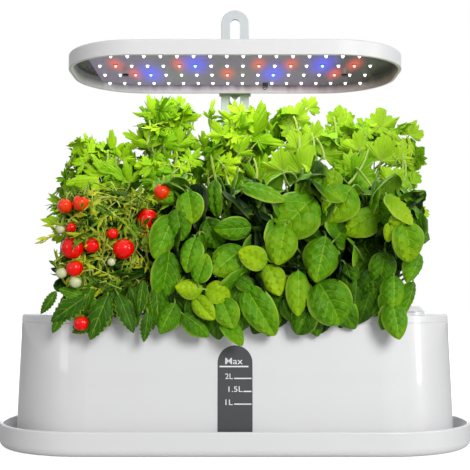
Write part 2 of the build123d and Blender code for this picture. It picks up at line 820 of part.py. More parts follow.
def make_lamp_cover():
    cover = extrude(lamp_outline(cover_low, lamp_wall + cover_gap), cover_thickness)
    for x, y in cover_screw_places():
        cover += disc(x, y, cover_high, board_low, spacer_radius)
        cover -= disc(x, y, cover_low - cut, board_low + cut, screw_radius + screw_hole_gap)
    return cover


def make_cover_screws():
    screws = []
    for x, y in cover_screw_places():
        screw = disc(x, y, cover_low, under_lamp_top, screw_radius)
        screws.append(screw + disc(x, y, cover_low - cover_screw_head, cover_low, screw_head_radius))
    return screws


def bracket_screw_y():
    return bracket_front_y - bracket_flange_length / 2


def make_bracket():
    """Sleeve round the pole with a flange that screws to the lamp's top face."""
    half = pole_width / 2 + bracket_gap + bracket_side_wall
    bracket = block((-half, bracket_front_y, bracket_low), (half, bracket_rear_y, bracket_high))
    bracket = fillet(bracket.edges().filter_by(Axis.Z).sort_by(Axis.Y)[-2:], bracket_edge_radius)
    flange_half = bracket_flange_width / 2
    flange_low = (-flange_half, bracket_front_y - bracket_flange_length, lamp_high)
    flange_high = (flange_half, bracket_front_y + cut, lamp_high + bracket_flange)
    bracket += block(flange_low, flange_high)
    channel = pole_width / 2 + bracket_gap
    channel_low = (-channel, pole_front_y - bracket_gap, bracket_low - cut)
    bracket -= block(channel_low, (channel, pole_rear_y + bracket_gap, bracket_high + cut))
    # the tongue runs in the pole's slot and ends in a point below the sleeve
    tongue = tongue_width / 2
    tongue_low = (-tongue, pole_front_y - bracket_gap, bracket_low)
    tongue_high = (tongue, pole_rear_y + bracket_gap, bracket_high - tongue_below_top)
    bracket += block(tongue_low, tongue_high)
    shape = make_face(Polyline((-tongue, 0), (0, -tongue_drop), (tongue, 0), close=True))
    point = Plane.XZ.offset(-pole_rear_y) * Pos(0, bracket_low) * shape
    bracket += extrude(point, pole_thickness)
    front = bracket_front_y - cut
    bracket -= rod(0, clamp_z, front, bracket_rear_y + cut, stud_radius + stud_gap)
    bracket -= make_nut_prism(nut_gap, front, bracket_front_y + nut_thickness + bracket_gap)
    for side in (-1, 1):
        x = side * bracket_flange_width / 4
        top = lamp_high + bracket_flange + cut
        hole = screw_radius + screw_hole_gap
        bracket -= disc(x, bracket_screw_y(), lamp_high - cut, top, hole)
    return bracket


def make_nut_prism(grow, front, back):
    radius = nut_across_flats / 2 + grow
    shape = Pos(0, clamp_z) * RegularPolygon(radius, 6, major_radius=False)
    return extrude(Plane.XZ.offset(-back) * shape, back - front)


def make_clamp_nut():
    front = bracket_front_y + bracket_gap
    nut = make_nut_prism(0.0, front, front + nut_thickness)
    return nut - rod(0, clamp_z, bracket_front_y, pole_front_y, stud_radius + pin_running_gap)


def make_bracket_screws():
    screws = []
    top = lamp_high + bracket_flange
    for side in (-1, 1):
        x = side * bracket_flange_width / 4
        screw = disc(x, bracket_screw_y(), bracket_screw_low + screw_hole_gap, top, screw_radius)
        screws.append(screw + disc(x, bracket_screw_y(), top, top + screw_head, screw_head_radius))
    return screws


def make_knob():
    front = bracket_rear_y + knob_gap
    back = front + knob_length
    knob = rod(0, clamp_z, front, back, knob_radius)
    for i in range(knob_lobes):
        angle = math.radians(360 * (i + 0.5) / knob_lobes)
        x = (knob_radius + knob_lobe_reach) * math.sin(angle)
        z = clamp_z + (knob_radius + knob_lobe_reach) * math.cos(angle)
        knob -= rod(x, z, front - cut, back + cut, knob_lobe_radius)
    knob = fillet(knob.faces().sort_by(Axis.Y)[-1].edges(), knob_edge_radius)
    return knob + rod(0, clamp_z, bracket_front_y + stud_end_gap, front, stud_radius)


def make_controls():
    """Box on the lamp's top face with a board, three buttons and a power inlet."""
    plan = RectangleRounded(pod_box_length, pod_box_depth, pod_box_corner)
    plane = Plane.XY.offset(lamp_high) * Pos(0, pod_box_y)
    cover = extrude(plane * plan, pod_box_height)
    cover = fillet(cover.faces().sort_by(Axis.Z)[-1].edges(), pod_box_edge_radius)
    inner = RectangleRounded(
        pod_box_length - 2 * pod_box_wall,
        pod_box_depth - 2 * pod_box_wall,
        pod_box_corner - pod_box_wall,
    )
    cover -= extrude(plane * inner, pod_box_height - pod_box_wall)
    ceiling = lamp_high + pod_box_height - pod_box_wall
    board_z = lamp_high + standoff_height
    board_top = board_z + control_board_thickness
    for side in (-1, 1):
        x = side * standoff_spacing / 2
        cover += disc(x, pod_box_y, board_top, ceiling, standoff_radius)
    half_x = control_board_length / 2
    half_y = control_board_depth / 2
    board_low_corner = (-half_x, pod_box_y - half_y, board_z)
    board = block(board_low_corner, (half_x, pod_box_y + half_y, board_top))
    button_places = [(button_pitch * (i - 1), pod_box_y) for i in range(3)]
    switches = []
    buttons = []
    for x, y in button_places:
        half = switch_size / 2
        switch_top = board_top + switch_height
        switches.append(block((x - half, y - half, board_top), (x + half, y + half, switch_top)))
        hole_high = ceiling + pod_box_wall + cut
        cover -= disc(x, y, ceiling - cut, hole_high, button_radius + button_gap)
        flange_top = ceiling - button_flange_gap
        flange_low = flange_top - button_flange_thickness
        top = lamp_high + pod_box_height + button_proud
        button = disc(x, y, flange_low, top, button_radius)
        button = fillet(button.faces().sort_by(Axis.Z)[-1].edges(), button_edge_radius)
        button += disc(x, y, flange_low, flange_top, button_reach)
        stem_low = switch_top + button_travel_gap
        buttons.append(button + disc(x, y, stem_low, flange_low, button_stem_radius))
    driver_length, driver_depth = driver_size[:2]
    driver_low = ((button_pitch - driver_length) / 2, pod_box_y - driver_depth / 2, board_top)
    driver = block(driver_low, [a + b for a, b in zip(driver_low, driver_size)])
    jack_z = lamp_high + pod_box_height / 2
    cover -= cross_rod(pod_box_y, jack_z, jack_left, jack_right + cut, jack_radius + jack_gap)
    jack = cross_rod(pod_box_y, jack_z, jack_left, jack_right, jack_radius)
    jack -= cross_rod(pod_box_y, jack_z, jack_left + jack_floor, jack_right + cut, jack_bore)
    jack += cross_rod(pod_box_y, jack_z, jack_left, jack_right - jack_pin_inset, jack_pin)
    return {
        "control_cover": cover,
        "control_board": board,
        "tact_switches": switches,
        "led_driver": driver,
        "button_power": buttons[0],
        "button_mode": buttons[1],
        "button_timer": buttons[2],
        "dc_jack": jack,
    }


def make_grommet():
    z = (cover_high + board_low) / 2
    rear = bracket_front_y
    front = rear - lamp_wall - grommet_inside
    back = rear + grommet_flange
    grommet = rod(grommet_x, z, front, back, grommet_radius)
    grommet += rod(grommet_x, z, rear, back, grommet_radius + grommet_flange)
    return grommet - rod(grommet_x, z, front - cut, back + cut, grommet_radius - grommet_wall)


def make_connector():
    width, depth, height = connector_size
    y = bracket_front_y - lamp_wall - connector_gap - depth
    low = (grommet_x - width / 2, y - depth / 2, board_low - height)
    return block(low, (grommet_x + width / 2, y + depth / 2, board_low))


def crown_size(way, turn, lump):
    """How far the crown reaches along a unit vector, in half sizes of its box."""
    around = math.atan2(way.Y, way.X)
    tilt = math.acos(way.Z)
    wave = math.sin(3 * around + turn) * math.sin(4 * tilt + turn)
    size = sum(abs(w) ** crown_power for w in way) ** (-1 / crown_power)
    return size * (1 - lump * (0.5 + 0.5 * wave))


def crown(low, high, turn, lump):
    """Faceted rounded block between two corners, with lumps; turn shifts the lumps."""
    middle = [(a + b) / 2 for a, b in zip(low, high)]
    reach = [(b - a) / 2 for a, b in zip(low, high)]

    def point(ring, column):
        tilt = math.pi * ring / crown_rings
        around = 2 * math.pi * (column + 0.5 * (ring % 2)) / crown_columns
        flat = math.sin(tilt)
        way = Vector(flat * math.cos(around), flat * math.sin(around), math.cos(tilt))
        size = crown_size(way, turn, lump)
        return Vector(*[m + r * size * w for m, r, w in zip(middle, reach, way)])

    pole_up = Vector(middle[0], middle[1], high[2] - lump * reach[2])
    pole_down = Vector(middle[0], middle[1], low[2] + lump * reach[2])
    last = crown_rings - 1
    corners = []
    for j in range(crown_columns):
        corners.append((pole_up, point(1, j), point(1, j + 1)))
        corners.append((pole_down, point(last, j + 1), point(last, j)))
    for i in range(1, last):
        for j in range(crown_columns):
            a, b = point(i, j), point(i, j + 1)
            if i % 2:
                c, d = point(i + 1, j), point(i + 1, j + 1)
                corners.append((a, d, b))
                corners.append((a, c, d))
            else:
                c, d = point(i + 1, j), point(i + 1, j + 1)
                corners.append((a, c, b))
                corners.append((b, c, d))
    faces = [Face(Wire.make_polygon(corner, close=True)) for corner in corners]
    return Solid(Shell(faces))


def lump_of(pod):
    return crown_lump if pod else tomato_lump


def make_plant(pod):
    """Crown on a stem that stands on the pod's sponge."""
    x, y = pod_places[pod]
    low, high = crown_box(pod)
    middle_z = (low[2] + high[2]) / 2
    plant = crown(low, high, pod, lump_of(pod))
    return plant + disc(x, y, sponge_top, middle_z, stem_radius)


def crown_box(pod):
    """Low and high corners of the space that a pod's crown fills."""
    column = pod % pod_count
    if pod < pod_count:
        edges, front, back = front_crown_edges, plant_front_y, plant_middle_y
        bottom, top = front_crown_low, front_crown_tops[column]
    else:
        edges, front, back = back_crown_edges, plant_middle_y, plant_back_y
        bottom, top = back_crown_low, back_crown_tops[column]
    if column == pod_count - 1:
        bottom = max(bottom, right_crown_low)
    low = (edges[column] + leaf_gap / 2, front + leaf_gap / 2, bottom)
    high = (edges[column + 1] - leaf_gap / 2, back - leaf_gap / 2, top)
    return low, high


def make_plants():
    """All plants; the tomatoes nest in the first two, and one hangs from the first on a truss."""
    plants = [make_plant(pod) for pod in range(2 * pod_count)]
    x, y, z, radius = hanging_fruit
    plants[0] += disc(x, y, z, truss_top, truss_radius)
    pockets = make_fruit(fruit_gap)
    return [plant - pockets if pod < 2 else plant for pod, plant in enumerate(plants)]


def fruit_place(x, z, radius):
    """Centre of a tomato that nests in a crown's front; its depth is found by halving."""
    pod = 0 if x < front_crown_edges[1] else 1
    low, high = crown_box(pod)
    middle = [(a + b) / 2 for a, b in zip(low, high)]
    reach = [(b - a) / 2 for a, b in zip(low, high)]
    outside, inside = -1.0, 0.0
    for _ in range(20):
        depth = (outside + inside) / 2
        way = Vector((x - middle[0]) / reach[0], depth, (z - middle[2]) / reach[2])
        if way.length < crown_size(way.normalized(), pod, lump_of(pod)):
            inside = depth
        else:
            outside = depth
    return (x, middle[1] + reach[1] * depth + radius * (1 - fruit_proud), z)


def make_fruit(grow=0.0):
    """Tomatoes as balls whose poles face front and back."""
    places = [fruit_place(*fruit) + (fruit[2],) for fruit in fruits] + [hanging_fruit]
    return [Pos(x, y, z) * Rot(90, 0, 0) * Sphere(r + grow) for x, y, z, r in places]


def main():
    plants = make_plants()
    nodes = {
        "drip_tray": make_tray(),
        "water_tank": make_tank(),
        "tank_feet": make_tank_feet(),
        "level_window": make_window(),
        "window_gasket": make_gasket(),
        "deck_panel": make_deck(),
        "fill_collar": make_fill_collar(),
        "fill_lid": make_fill_lid(),
        "fill_lid_pin": make_lid_pin(),
        "pole": make_pole(),
        "pole_socket": make_socket(),
        "socket_screws": make_socket_screws(),
        "pole_screws": make_pole_screws(),
        "lamp_bracket": make_bracket(),
        "bracket_screws": make_bracket_screws(),
        "clamp_nut": make_clamp_nut(),
        "clamp_knob": make_knob(),
        "lamp_housing": make_lamp_housing(),
        "led_board": make_led_board(),
        "leds_white": make_leds("W"),
        "leds_red": make_leds("R"),
        "leds_blue": make_leds("B"),
        "lamp_cover": make_lamp_cover(),
        "cover_screws": make_cover_screws(),
        "board_connector": make_connector(),
        "lead_grommet": make_grommet(),
        "grow_sponges": [make_sponge(x, y) for x, y in pod_places],
        "tomato_plant": plants[0],
        "tomato_fruit": make_fruit(),
        "basil_plants": plants[1:pod_count],
        "celery_plants": plants[pod_count:pod_count + 3],
        "coriander_plants": plants[pod_count + 3:],
    }
    nodes.update(make_pump())
    nodes.update(make_controls())
    for number, (x, y) in enumerate(pod_places, start=1):
        nodes[f"basket_{number:02d}"] = make_basket(x, y)
    for name, shape in nodes.items():
        if isinstance(shape, list):
            shape = Compound(children=shape)
        export_step(shape, f"parts/{name}.step")
    print(len(nodes), "nodes written")


main()
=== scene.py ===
import bmesh
import bpy
import json
import math
import numpy as np
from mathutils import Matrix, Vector
from mathutils.bvhtree import BVHTree


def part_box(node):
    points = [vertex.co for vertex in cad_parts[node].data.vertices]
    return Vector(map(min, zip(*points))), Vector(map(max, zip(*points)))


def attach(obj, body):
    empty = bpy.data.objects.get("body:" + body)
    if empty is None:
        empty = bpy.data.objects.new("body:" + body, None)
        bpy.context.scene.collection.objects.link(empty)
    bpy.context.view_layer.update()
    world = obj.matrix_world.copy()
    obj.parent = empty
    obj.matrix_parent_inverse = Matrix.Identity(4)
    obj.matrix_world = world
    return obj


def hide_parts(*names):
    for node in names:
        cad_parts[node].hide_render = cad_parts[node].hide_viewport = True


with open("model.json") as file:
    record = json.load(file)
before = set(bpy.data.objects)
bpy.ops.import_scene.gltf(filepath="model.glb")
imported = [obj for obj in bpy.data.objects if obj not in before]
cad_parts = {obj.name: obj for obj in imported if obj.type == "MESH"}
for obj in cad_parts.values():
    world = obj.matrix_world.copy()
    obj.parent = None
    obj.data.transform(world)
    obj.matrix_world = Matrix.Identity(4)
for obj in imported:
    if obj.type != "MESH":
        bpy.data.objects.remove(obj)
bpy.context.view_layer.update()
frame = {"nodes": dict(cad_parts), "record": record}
cadNodes = frame["nodes"]
mm = 0.001
print("frame loaded with", len(cadNodes), "nodes")

# Camera
eye = {
    "place": (0.0, -0.830, 0.1275),
    "pitch": 3.6,  # degrees above level
    "focal": 948.0,  # in pixels of the square frame
    "frameSize": 470,
    "middle": (235.5, 235.0),  # column and row that the camera points at
    "sensor": 36.0,
}


def makeCamera():
    data = bpy.data.cameras.new("camera")
    data.sensor_width = eye["sensor"]
    data.lens = eye["focal"] / eye["frameSize"] * eye["sensor"]
    camera = bpy.data.objects.new("camera", data)
    camera.location = eye["place"]
    camera.rotation_euler = (math.radians(90 + eye["pitch"]), 0, 0)
    bpy.context.scene.collection.objects.link(camera)
    bpy.context.scene.camera = camera


def seenAt(columns, rows, depths):
    # Point on the ray through a column and row of the frame, followed until its y is the given depth.
    pitch = math.radians(eye["pitch"])
    right = (np.asarray(columns, float) - eye["middle"][0]) / eye["focal"]
    up = (eye["middle"][1] - np.asarray(rows, float)) / eye["focal"]
    forward = math.cos(pitch) - up * math.sin(pitch)
    ray = np.stack([right, forward, math.sin(pitch) + up * math.cos(pitch)], -1)
    start = np.array(eye["place"])
    reach = (np.asarray(depths, float) - start[1]) / ray[..., 1]
    return start + ray * reach[..., None]


# Lights and floor
studio = {
    "ambient": 0.21,
    "floorSize": 12.0,
    "floorDrop": 0.0004,
    "floorColor": (0.72, 0.72, 0.72),
    "floorRoughness": 0.9,
    "floorGlow": 0.90,  # added for the camera alone, so that the floor reads as white
    "riders": {"grow": "lamp"},  # lights that move with a body
    "lamps": {  # place, target, width, height, watts, seen only as a gloss
        "key": ((1.10, -2.60, 1.20), (0.0, 0.0, 0.16), 1.1, 1.1, 63.0, False),
        "top": ((0.0, -0.30, 2.20), (0.0, 0.0, 0.20), 1.4, 1.4, 5.2, False),
        "rear": ((0.0, 2.4, 1.0), (0.0, 0.0, 0.20), 1.2, 1.2, 24.0, False),
        "grow": ((0.0, -0.02, 0.314), (0.0, -0.02, 0.1), 0.24, 0.12, 0.26, False),
        "rightStrip": ((1.051, -0.487, 0.420), (0.148, -0.058, 0.420), 0.14, 0.79, 6.0, True),
        "leftStrip": ((-0.826, -0.784, 0.240), (-0.137, -0.063, 0.240), 0.24, 0.376, 1.3, True),
    },
}


def aim(thing, target):
    thing.rotation_euler = (thing.location - Vector(target)).to_track_quat("Z", "Y").to_euler()


def makeLights():
    for name, (place, target, width, height, watts, glossOnly) in studio["lamps"].items():
        data = bpy.data.lights.new(name, "AREA")
        data.shape = "RECTANGLE"
        data.size = width
        data.size_y = height
        data.energy = watts
        lamp = bpy.data.objects.new(name, data)
        lamp.location = place
        aim(lamp, target)
        lamp.visible_camera = False
        lamp.visible_diffuse = not glossOnly
        bpy.context.scene.collection.objects.link(lamp)
        if name in studio["riders"]:
            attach(lamp, studio["riders"][name])


def makeFloor():
    # Square floor a little below the tray, which glows for the camera alone.
    half = studio["floorSize"] / 2
    z = -studio["floorDrop"]
    corners = [(-half, -half, z), (half, -half, z), (half, half, z), (-half, half, z)]
    mesh = bpy.data.meshes.new("floor")
    mesh.from_pydata(corners, [], [(0, 1, 2, 3)])
    floor = bpy.data.objects.new("floor", mesh)
    bpy.context.scene.collection.objects.link(floor)
    paint, tree, shader = newMaterial("floorPaint", **{
        "Base Color": studio["floorColor"], "Roughness": studio["floorRoughness"],
        "Specular IOR Level": 0.0, "Emission Color": (1, 1, 1),
    })
    rays = put(tree, "LightPath").outputs
    glow = calc(tree, "MULTIPLY", rays["Is Camera Ray"], studio["floorGlow"])
    tree.links.new(glow, shader.inputs["Emission Strength"])
    mesh.materials.append(paint)


def makeRoom():
    # White where it is seen directly, in a gloss or through a clear piece, and dimmer as a light.
    world = bpy.data.worlds.new("room")
    world.use_nodes = True
    bpy.context.scene.world = world
    tree = world.node_tree
    rays = put(tree, "LightPath").outputs
    direct = calc(tree, "MAXIMUM", rays["Is Camera Ray"], rays["Is Glossy Ray"])
    direct = calc(tree, "MAXIMUM", direct, rays["Is Transmission Ray"])
    background = tree.nodes["Background"].inputs
    background["Color"].default_value = (1, 1, 1, 1)
    tree.links.new(ramp(tree, direct, (0.0, 1.0), (studio["ambient"], 1.0)), background["Strength"])
    bpy.context.scene.view_settings.view_transform = "Standard"


# Shader helpers
def feed(tree, socket, value):
    # A socket is linked to another socket, or takes a number, a vector or a colour as its value.
    if isinstance(value, bpy.types.NodeSocket):
        tree.links.new(value, socket)
    elif socket.type == "RGBA":
        socket.default_value = (*value, 1)
    else:
        socket.default_value = value


def put(tree, kind, inputs=None, **settings):
    # One shader node: settings are its own properties, inputs are values or the sockets to link.
    node = tree.nodes.new("ShaderNode" + kind)
    for name, value in settings.items():
        setattr(node, name, value)
    for key, value in (inputs or {}).items():
        feed(tree, node.inputs[key], value)
    return node


def calc(tree, operation, *values):
    return put(tree, "Math", dict(enumerate(values)), operation=operation).outputs[0]


def vectorCalc(tree, operation, *values):
    outputs = put(tree, "VectorMath", dict(enumerate(values)), operation=operation).outputs
    return outputs["Value" if operation in ("LENGTH", "DOT_PRODUCT") else "Vector"]


def ramp(tree, value, source, target=(0.0, 1.0), **settings):
    # The value carried from the source range to the target range and kept inside it.
    labels = ("Value", "From Min", "From Max", "To Min", "To Max")
    return put(tree, "MapRange", dict(zip(labels, (value, *source, *target))), **settings).outputs[0]


def fadeOut(tree, value, end):
    # One at zero, falling softly to nothing at the end.
    return ramp(tree, value, (0.0, end), (1.0, 0.0), interpolation_type="SMOOTHSTEP")


def noise(tree, place, scale, detail):
    return put(tree, "TexNoise", {"Vector": place, "Scale": scale, "Detail": detail}).outputs[0]


def unsettled(tree, value, pattern, depth):
    # The value raised and lowered by a pattern about one half.
    return calc(tree, "ADD", value, calc(tree, "MULTIPLY", calc(tree, "SUBTRACT", pattern, 0.5), depth))


def objectPlace(tree):
    return put(tree, "TexCoord").outputs["Object"]


def axisValues(tree, vector):
    return put(tree, "SeparateXYZ", {0: vector}).outputs


def pointValue(tree, name, kind="Fac"):
    return put(tree, "Attribute", attribute_name=name).outputs[kind]


def brightened(tree, color, value):
    return put(tree, "HueSaturation", {"Value": value, "Color": color}).outputs[0]


def blendColors(tree, amount, first, second):
    mix = put(tree, "Mix", data_type="RGBA")
    sockets = [s for s in mix.inputs if s.enabled]
    for socket, value in zip(sockets, (amount, first, second)):
        feed(tree, socket, value)
    return [s for s in mix.outputs if s.enabled][0]


def colorStops(tree, value, stops):
    # Colour ramp over a value: pairs of a position and a colour.
    node = put(tree, "ValToRGB", {0: value})
    elements = node.color_ramp.elements
    while len(elements) < len(stops):
        elements.new(0.5)
    for element, (position, color) in zip(elements, stops):
        element.position = position
        element.color = (*color, 1)
    return node.outputs[0]


surfaceOutputs = {"Color": "Color", "Roughness": "Float", "Normal": "Vector"}


def newGroup(name, inputs, outputs):
    # Node group: inputs are numbers or colours that it starts with, outputs are kinds of socket.
    tree = bpy.data.node_groups.new(name, "ShaderNodeTree")
    for label, value in inputs.items():
        kind = "NodeSocketColor" if isinstance(value, tuple) else "NodeSocketFloat"
        tree.interface.new_socket(label, in_out="INPUT", socket_type=kind).default_value = value
    for label, kind in outputs.items():
        tree.interface.new_socket(label, in_out="OUTPUT", socket_type="NodeSocket" + kind)
    return tree, tree.nodes.new("NodeGroupInput").outputs, tree.nodes.new("NodeGroupOutput").inputs


def giveOut(tree, out, values):
    for label, value in values.items():
        tree.links.new(value, out[label])
    return tree


def useGroup(tree, group, values=None):
    return put(tree, "Group", values, node_tree=group).outputs


def makeSkinGroup():
    # Slow mottling of a colour and a roughness, with a fine grain as a normal, on Object coordinates.
    tree, inside, out = newGroup("skinGrain", {
        "Color": (0.8, 0.8, 0.8, 1), "Roughness": 0.3, "Patch Scale": 30.0, "Patch Depth": 0.04,
        "Grain Scale": 900.0, "Grain Depth": 0.05,
    }, surfaceOutputs)
    place = objectPlace(tree)
    patch = calc(tree, "SUBTRACT", noise(tree, place, inside["Patch Scale"], 3.0), 0.5)
    brightness = calc(tree, "MULTIPLY_ADD", patch, inside["Patch Depth"], 1.0)
    grain = noise(tree, place, inside["Grain Scale"], 2.0)
    bump = put(tree, "Bump", {"Strength": inside["Grain Depth"], "Distance": 0.0004, "Height": grain})
    return giveOut(tree, out, {
        "Color": brightened(tree, inside["Color"], brightness),
        "Roughness": calc(tree, "MULTIPLY_ADD", patch, 0.08, inside["Roughness"]),
        "Normal": bump.outputs[0],
    })


skinGroup = makeSkinGroup()


def skin(tree, color, roughness, patch=(30.0, 0.04), grain=(900.0, 0.05)):
    # Surface with a mottling and a grain, each given as a scale and a depth.
    return useGroup(tree, skinGroup, {
        "Color": color, "Roughness": roughness, "Patch Scale": patch[0], "Patch Depth": patch[1],
        "Grain Scale": grain[0], "Grain Depth": grain[1],
    })


def newMaterial(name, **shaderValues):
    material = bpy.data.materials.new(name)
    material.use_nodes = True
    tree = material.node_tree
    shader = tree.nodes["Principled BSDF"]
    for key, value in shaderValues.items():
        feed(tree, shader.inputs[key], value)
    return material, tree, shader


def wear(tree, shader, surface, labels=tuple(surfaceOutputs)):
    # The shader takes these outputs of a surface.
    for label in labels:
        tree.links.new(surface[label], shader.inputs["Base Color" if label == "Color" else label])


def skinMaterial(name, color, roughness, patch=(30.0, 0.04), grain=(900.0, 0.05), **shaderValues):
    material, tree, shader = newMaterial(name, **shaderValues)
    wear(tree, shader, skin(tree, color, roughness, patch, grain))
    return material


def meshArrays(name):
    mesh = cadNodes[name].data
    mesh.calc_loop_triangles()
    points = np.empty(len(mesh.vertices) * 3)
    mesh.vertices.foreach_get("co", points)
    corners = np.empty(len(mesh.loop_triangles) * 3, int)
    mesh.loop_triangles.foreach_get("vertices", corners)
    return points.reshape(-1, 3), corners.reshape(-1, 3)


# Finishes of the solids: patch and grain are scales and depths
glossy = {"patch": (30.0, 0.01), "grain": (900.0, 0.02), "Coat Weight": 0.4, "Coat Roughness": 0.03}
steel = {"patch": (30.0, 0.1), "grain": (2500.0, 0.05), "Metallic": 1.0}
finishes = {
    "tray_plastic": dict(color=(0.775, 0.775, 0.785), roughness=0.38, **glossy),
    "tank_plastic": dict(color=(0.77, 0.77, 0.78), roughness=0.36, **glossy),
    "deck_plastic": dict(color=(0.77, 0.77, 0.78), roughness=0.36, **glossy),
    "lid_plastic": dict(color=(0.78, 0.78, 0.79), roughness=0.28, **glossy),
    "lamp_plastic": dict(color=(0.74, 0.74, 0.74), roughness=0.45, patch=(30.0, 0.01), grain=(900.0, 0.03)),
    "seal_rubber": dict(color=(0.05, 0.05, 0.05), roughness=0.7, patch=(30.0, 0.3), grain=(900.0, 0.2)),
    "foot_rubber": dict(color=(0.33, 0.34, 0.35), roughness=0.7, patch=(30.0, 0.2), grain=(900.0, 0.2)),
    "pin_steel": dict(color=(0.60, 0.60, 0.61), roughness=0.3, **steel),
    "nut_steel": dict(color=(0.62, 0.62, 0.60), roughness=0.35, **steel),
    "screw_steel": dict(color=(0.02, 0.02, 0.022), roughness=0.35, patch=(30.0, 0.3), grain=(2500.0, 0.05)),
    "pole_plastic": dict(color=(0.60, 0.64, 0.65), roughness=0.42, patch=(30.0, 0.06), grain=(900.0, 0.1)),
    "bracket_plastic": dict(color=(0.30, 0.32, 0.32), roughness=0.5, patch=(30.0, 0.2), grain=(900.0, 0.3)),
    "knob_plastic": dict(color=(0.45, 0.47, 0.48), roughness=0.5, patch=(30.0, 0.2), grain=(900.0, 0.35)),
    "black_plastic": dict(color=(0.015, 0.015, 0.016), roughness=0.4, patch=(30.0, 0.3), grain=(900.0, 0.2)),
    "button_plastic": dict(color=(0.50, 0.52, 0.53), roughness=0.35, patch=(30.0, 0.08), grain=(900.0, 0.1)),
    "board_green": dict(color=(0.02, 0.15, 0.06), roughness=0.4, patch=(300.0, 0.5)),
    "pump_plastic": dict(color=(0.04, 0.04, 0.045), roughness=0.45, patch=(30.0, 0.3), grain=(900.0, 0.2)),
    "pump_foam": dict(color=(0.08, 0.08, 0.09), roughness=0.95, patch=(900.0, 1.2), grain=(900.0, 1.0)),
    "shaft_ceramic": dict(color=(0.80, 0.79, 0.75), roughness=0.25, patch=(30.0, 0.05)),
    "pipe_plastic": dict(color=(0.72, 0.75, 0.75), roughness=0.3, patch=(30.0, 0.05)),
    "basket_plastic": dict(color=(0.045, 0.047, 0.05), roughness=0.42, patch=(30.0, 0.25),
                           grain=(900.0, 0.15)),
    "sponge": dict(color=(0.10, 0.065, 0.04), roughness=1.0, patch=(700.0, 1.4), grain=(900.0, 1.0)),
}

window = {
    "foot": (0.050, 0.053, 0.057),
    "top": (0.041, 0.044, 0.048),
    "heights": (0.02, 0.085),  # where the colour leaves the foot's and reaches the top's
    "roughness": 0.35,
}


def windowMaterial():
    # Smoke-grey plastic, a little lighter towards the floor of the tank.
    material, tree, shader = newMaterial("windowSmoke", **{"Coat Weight": 0.2, "Coat Roughness": 0.08})
    height = axisValues(tree, objectPlace(tree))["Z"]
    tint = blendColors(tree, ramp(tree, height, window["heights"]), window["foot"], window["top"])
    wear(tree, shader, skin(tree, tint, window["roughness"], patch=(30.0, 0.12), grain=(900.0, 0.03)))
    return material


lampLight = {
    "white": ((1.0, 1.0, 0.97), 3.0),
    "red": ((1.0, 0.36, 0.30), 2.4),
    "blue": ((0.25, 0.50, 1.0), 3.0),
    "chipReach": 0.006,  # points of one chip's mesh lie nearer to each other than this
    "lensRadius": 0.0013,
    "lensDepth": 0.0020,
    # reach of the coloured light on the board across and in depth, and its colour
    "halos": {
        "red": ((0.0110, 0.036), (0.70, 0.060, 0.045)),
        "blue": ((0.0190, 0.060), (0.070, 0.055, 0.85)),
    },
}


def ledMaterial(kind, share=0.05, shade=0.35):
    # Lit chip with a faint grain in its phosphor.
    color, strength = lampLight[kind]
    shaderValues = {"Emission Strength": strength * share, "Roughness": 0.4}
    material, tree, shader = newMaterial("led" + kind.capitalize(), **shaderValues)
    surface = skin(tree, [channel * shade for channel in color], 0.3, patch=(1500.0, 0.2))
    tree.links.new(surface["Color"], shader.inputs["Base Color"])
    tree.links.new(surface["Color"], shader.inputs["Emission Color"])
    return material


def chipCentres(name):
    # Middle of the lower face of every chip of a node: the chips stand further apart than they are long.
    points = meshArrays(name)[0]
    found = []
    while len(points):
        near = np.linalg.norm(points - points[0], axis=1) < lampLight["chipReach"]
        low, high = points[near].min(0), points[near].max(0)
        found.append([*(low + high)[:2] / 2, low[2]])
        points = points[~near]
    return np.array(found)


def lensShells(centres, radius, depth, rows=4, ring=10):
    # Half a ball below each chip, with its own flat top.
    slope = np.linspace(0.0, 0.45 * np.pi, rows)[:, None]
    turn = 2 * np.pi * np.arange(ring) / ring
    x = np.cos(slope) * np.cos(turn)
    y = np.cos(slope) * np.sin(turn)
    z = np.broadcast_to(-np.sin(slope), x.shape)
    rings = centres[:, None, None] + np.stack([x * radius, y * radius, z * depth], -1)
    return (*closedShells(rings, centres, centres - np.array([0, 0, depth])), {})


def makeLenses():
    for kind in ("white", "red", "blue"):
        shells = lensShells(chipCentres("leds_" + kind), lampLight["lensRadius"], lampLight["lensDepth"])
        addPiece(kind + "Lenses", [shells], ledMaterial(kind, 1.0, 1.0), body="lamp")


def makeHaloGroup(kind):
    # Mask of the light that the chips of one colour spread on the board.
    (acrossReach, depthReach), _ = lampLight["halos"][kind]
    tree, _, out = newGroup(kind + "Halos", {}, {"Mask": "Float"})
    place = objectPlace(tree)
    total = 0.0
    for centre in chipCentres("leds_" + kind):
        offset = vectorCalc(tree, "SUBTRACT", place, tuple(centre))
        scaled = vectorCalc(tree, "MULTIPLY", offset, (1 / acrossReach, 1 / depthReach, 0))
        near = fadeOut(tree, vectorCalc(tree, "LENGTH", scaled), 1.0)
        total = calc(tree, "ADD", calc(tree, "POWER", near, 1.3), total)
    return giveOut(tree, out, {"Mask": total})


board = {
    "end": 0.125,  # x of its right end
    # painted shade and chip light: the white mask's colours across it, grey violet and near black at the
    # right end
    "colors": [(0.0, (0.29, 0.26, 0.31)), (0.35, (0.29, 0.24, 0.33)), (0.7, (0.27, 0.21, 0.29)),
               (0.88, (0.14, 0.115, 0.12)), (1.0, (0.045, 0.035, 0.03))],
    "glow": (0.085, 0.055, 0.130),  # light that all the chips spread on it together
    "glowFade": (0.06, 0.12),  # x where that light starts to fade and where it ends
    "roughness": 0.65,
}


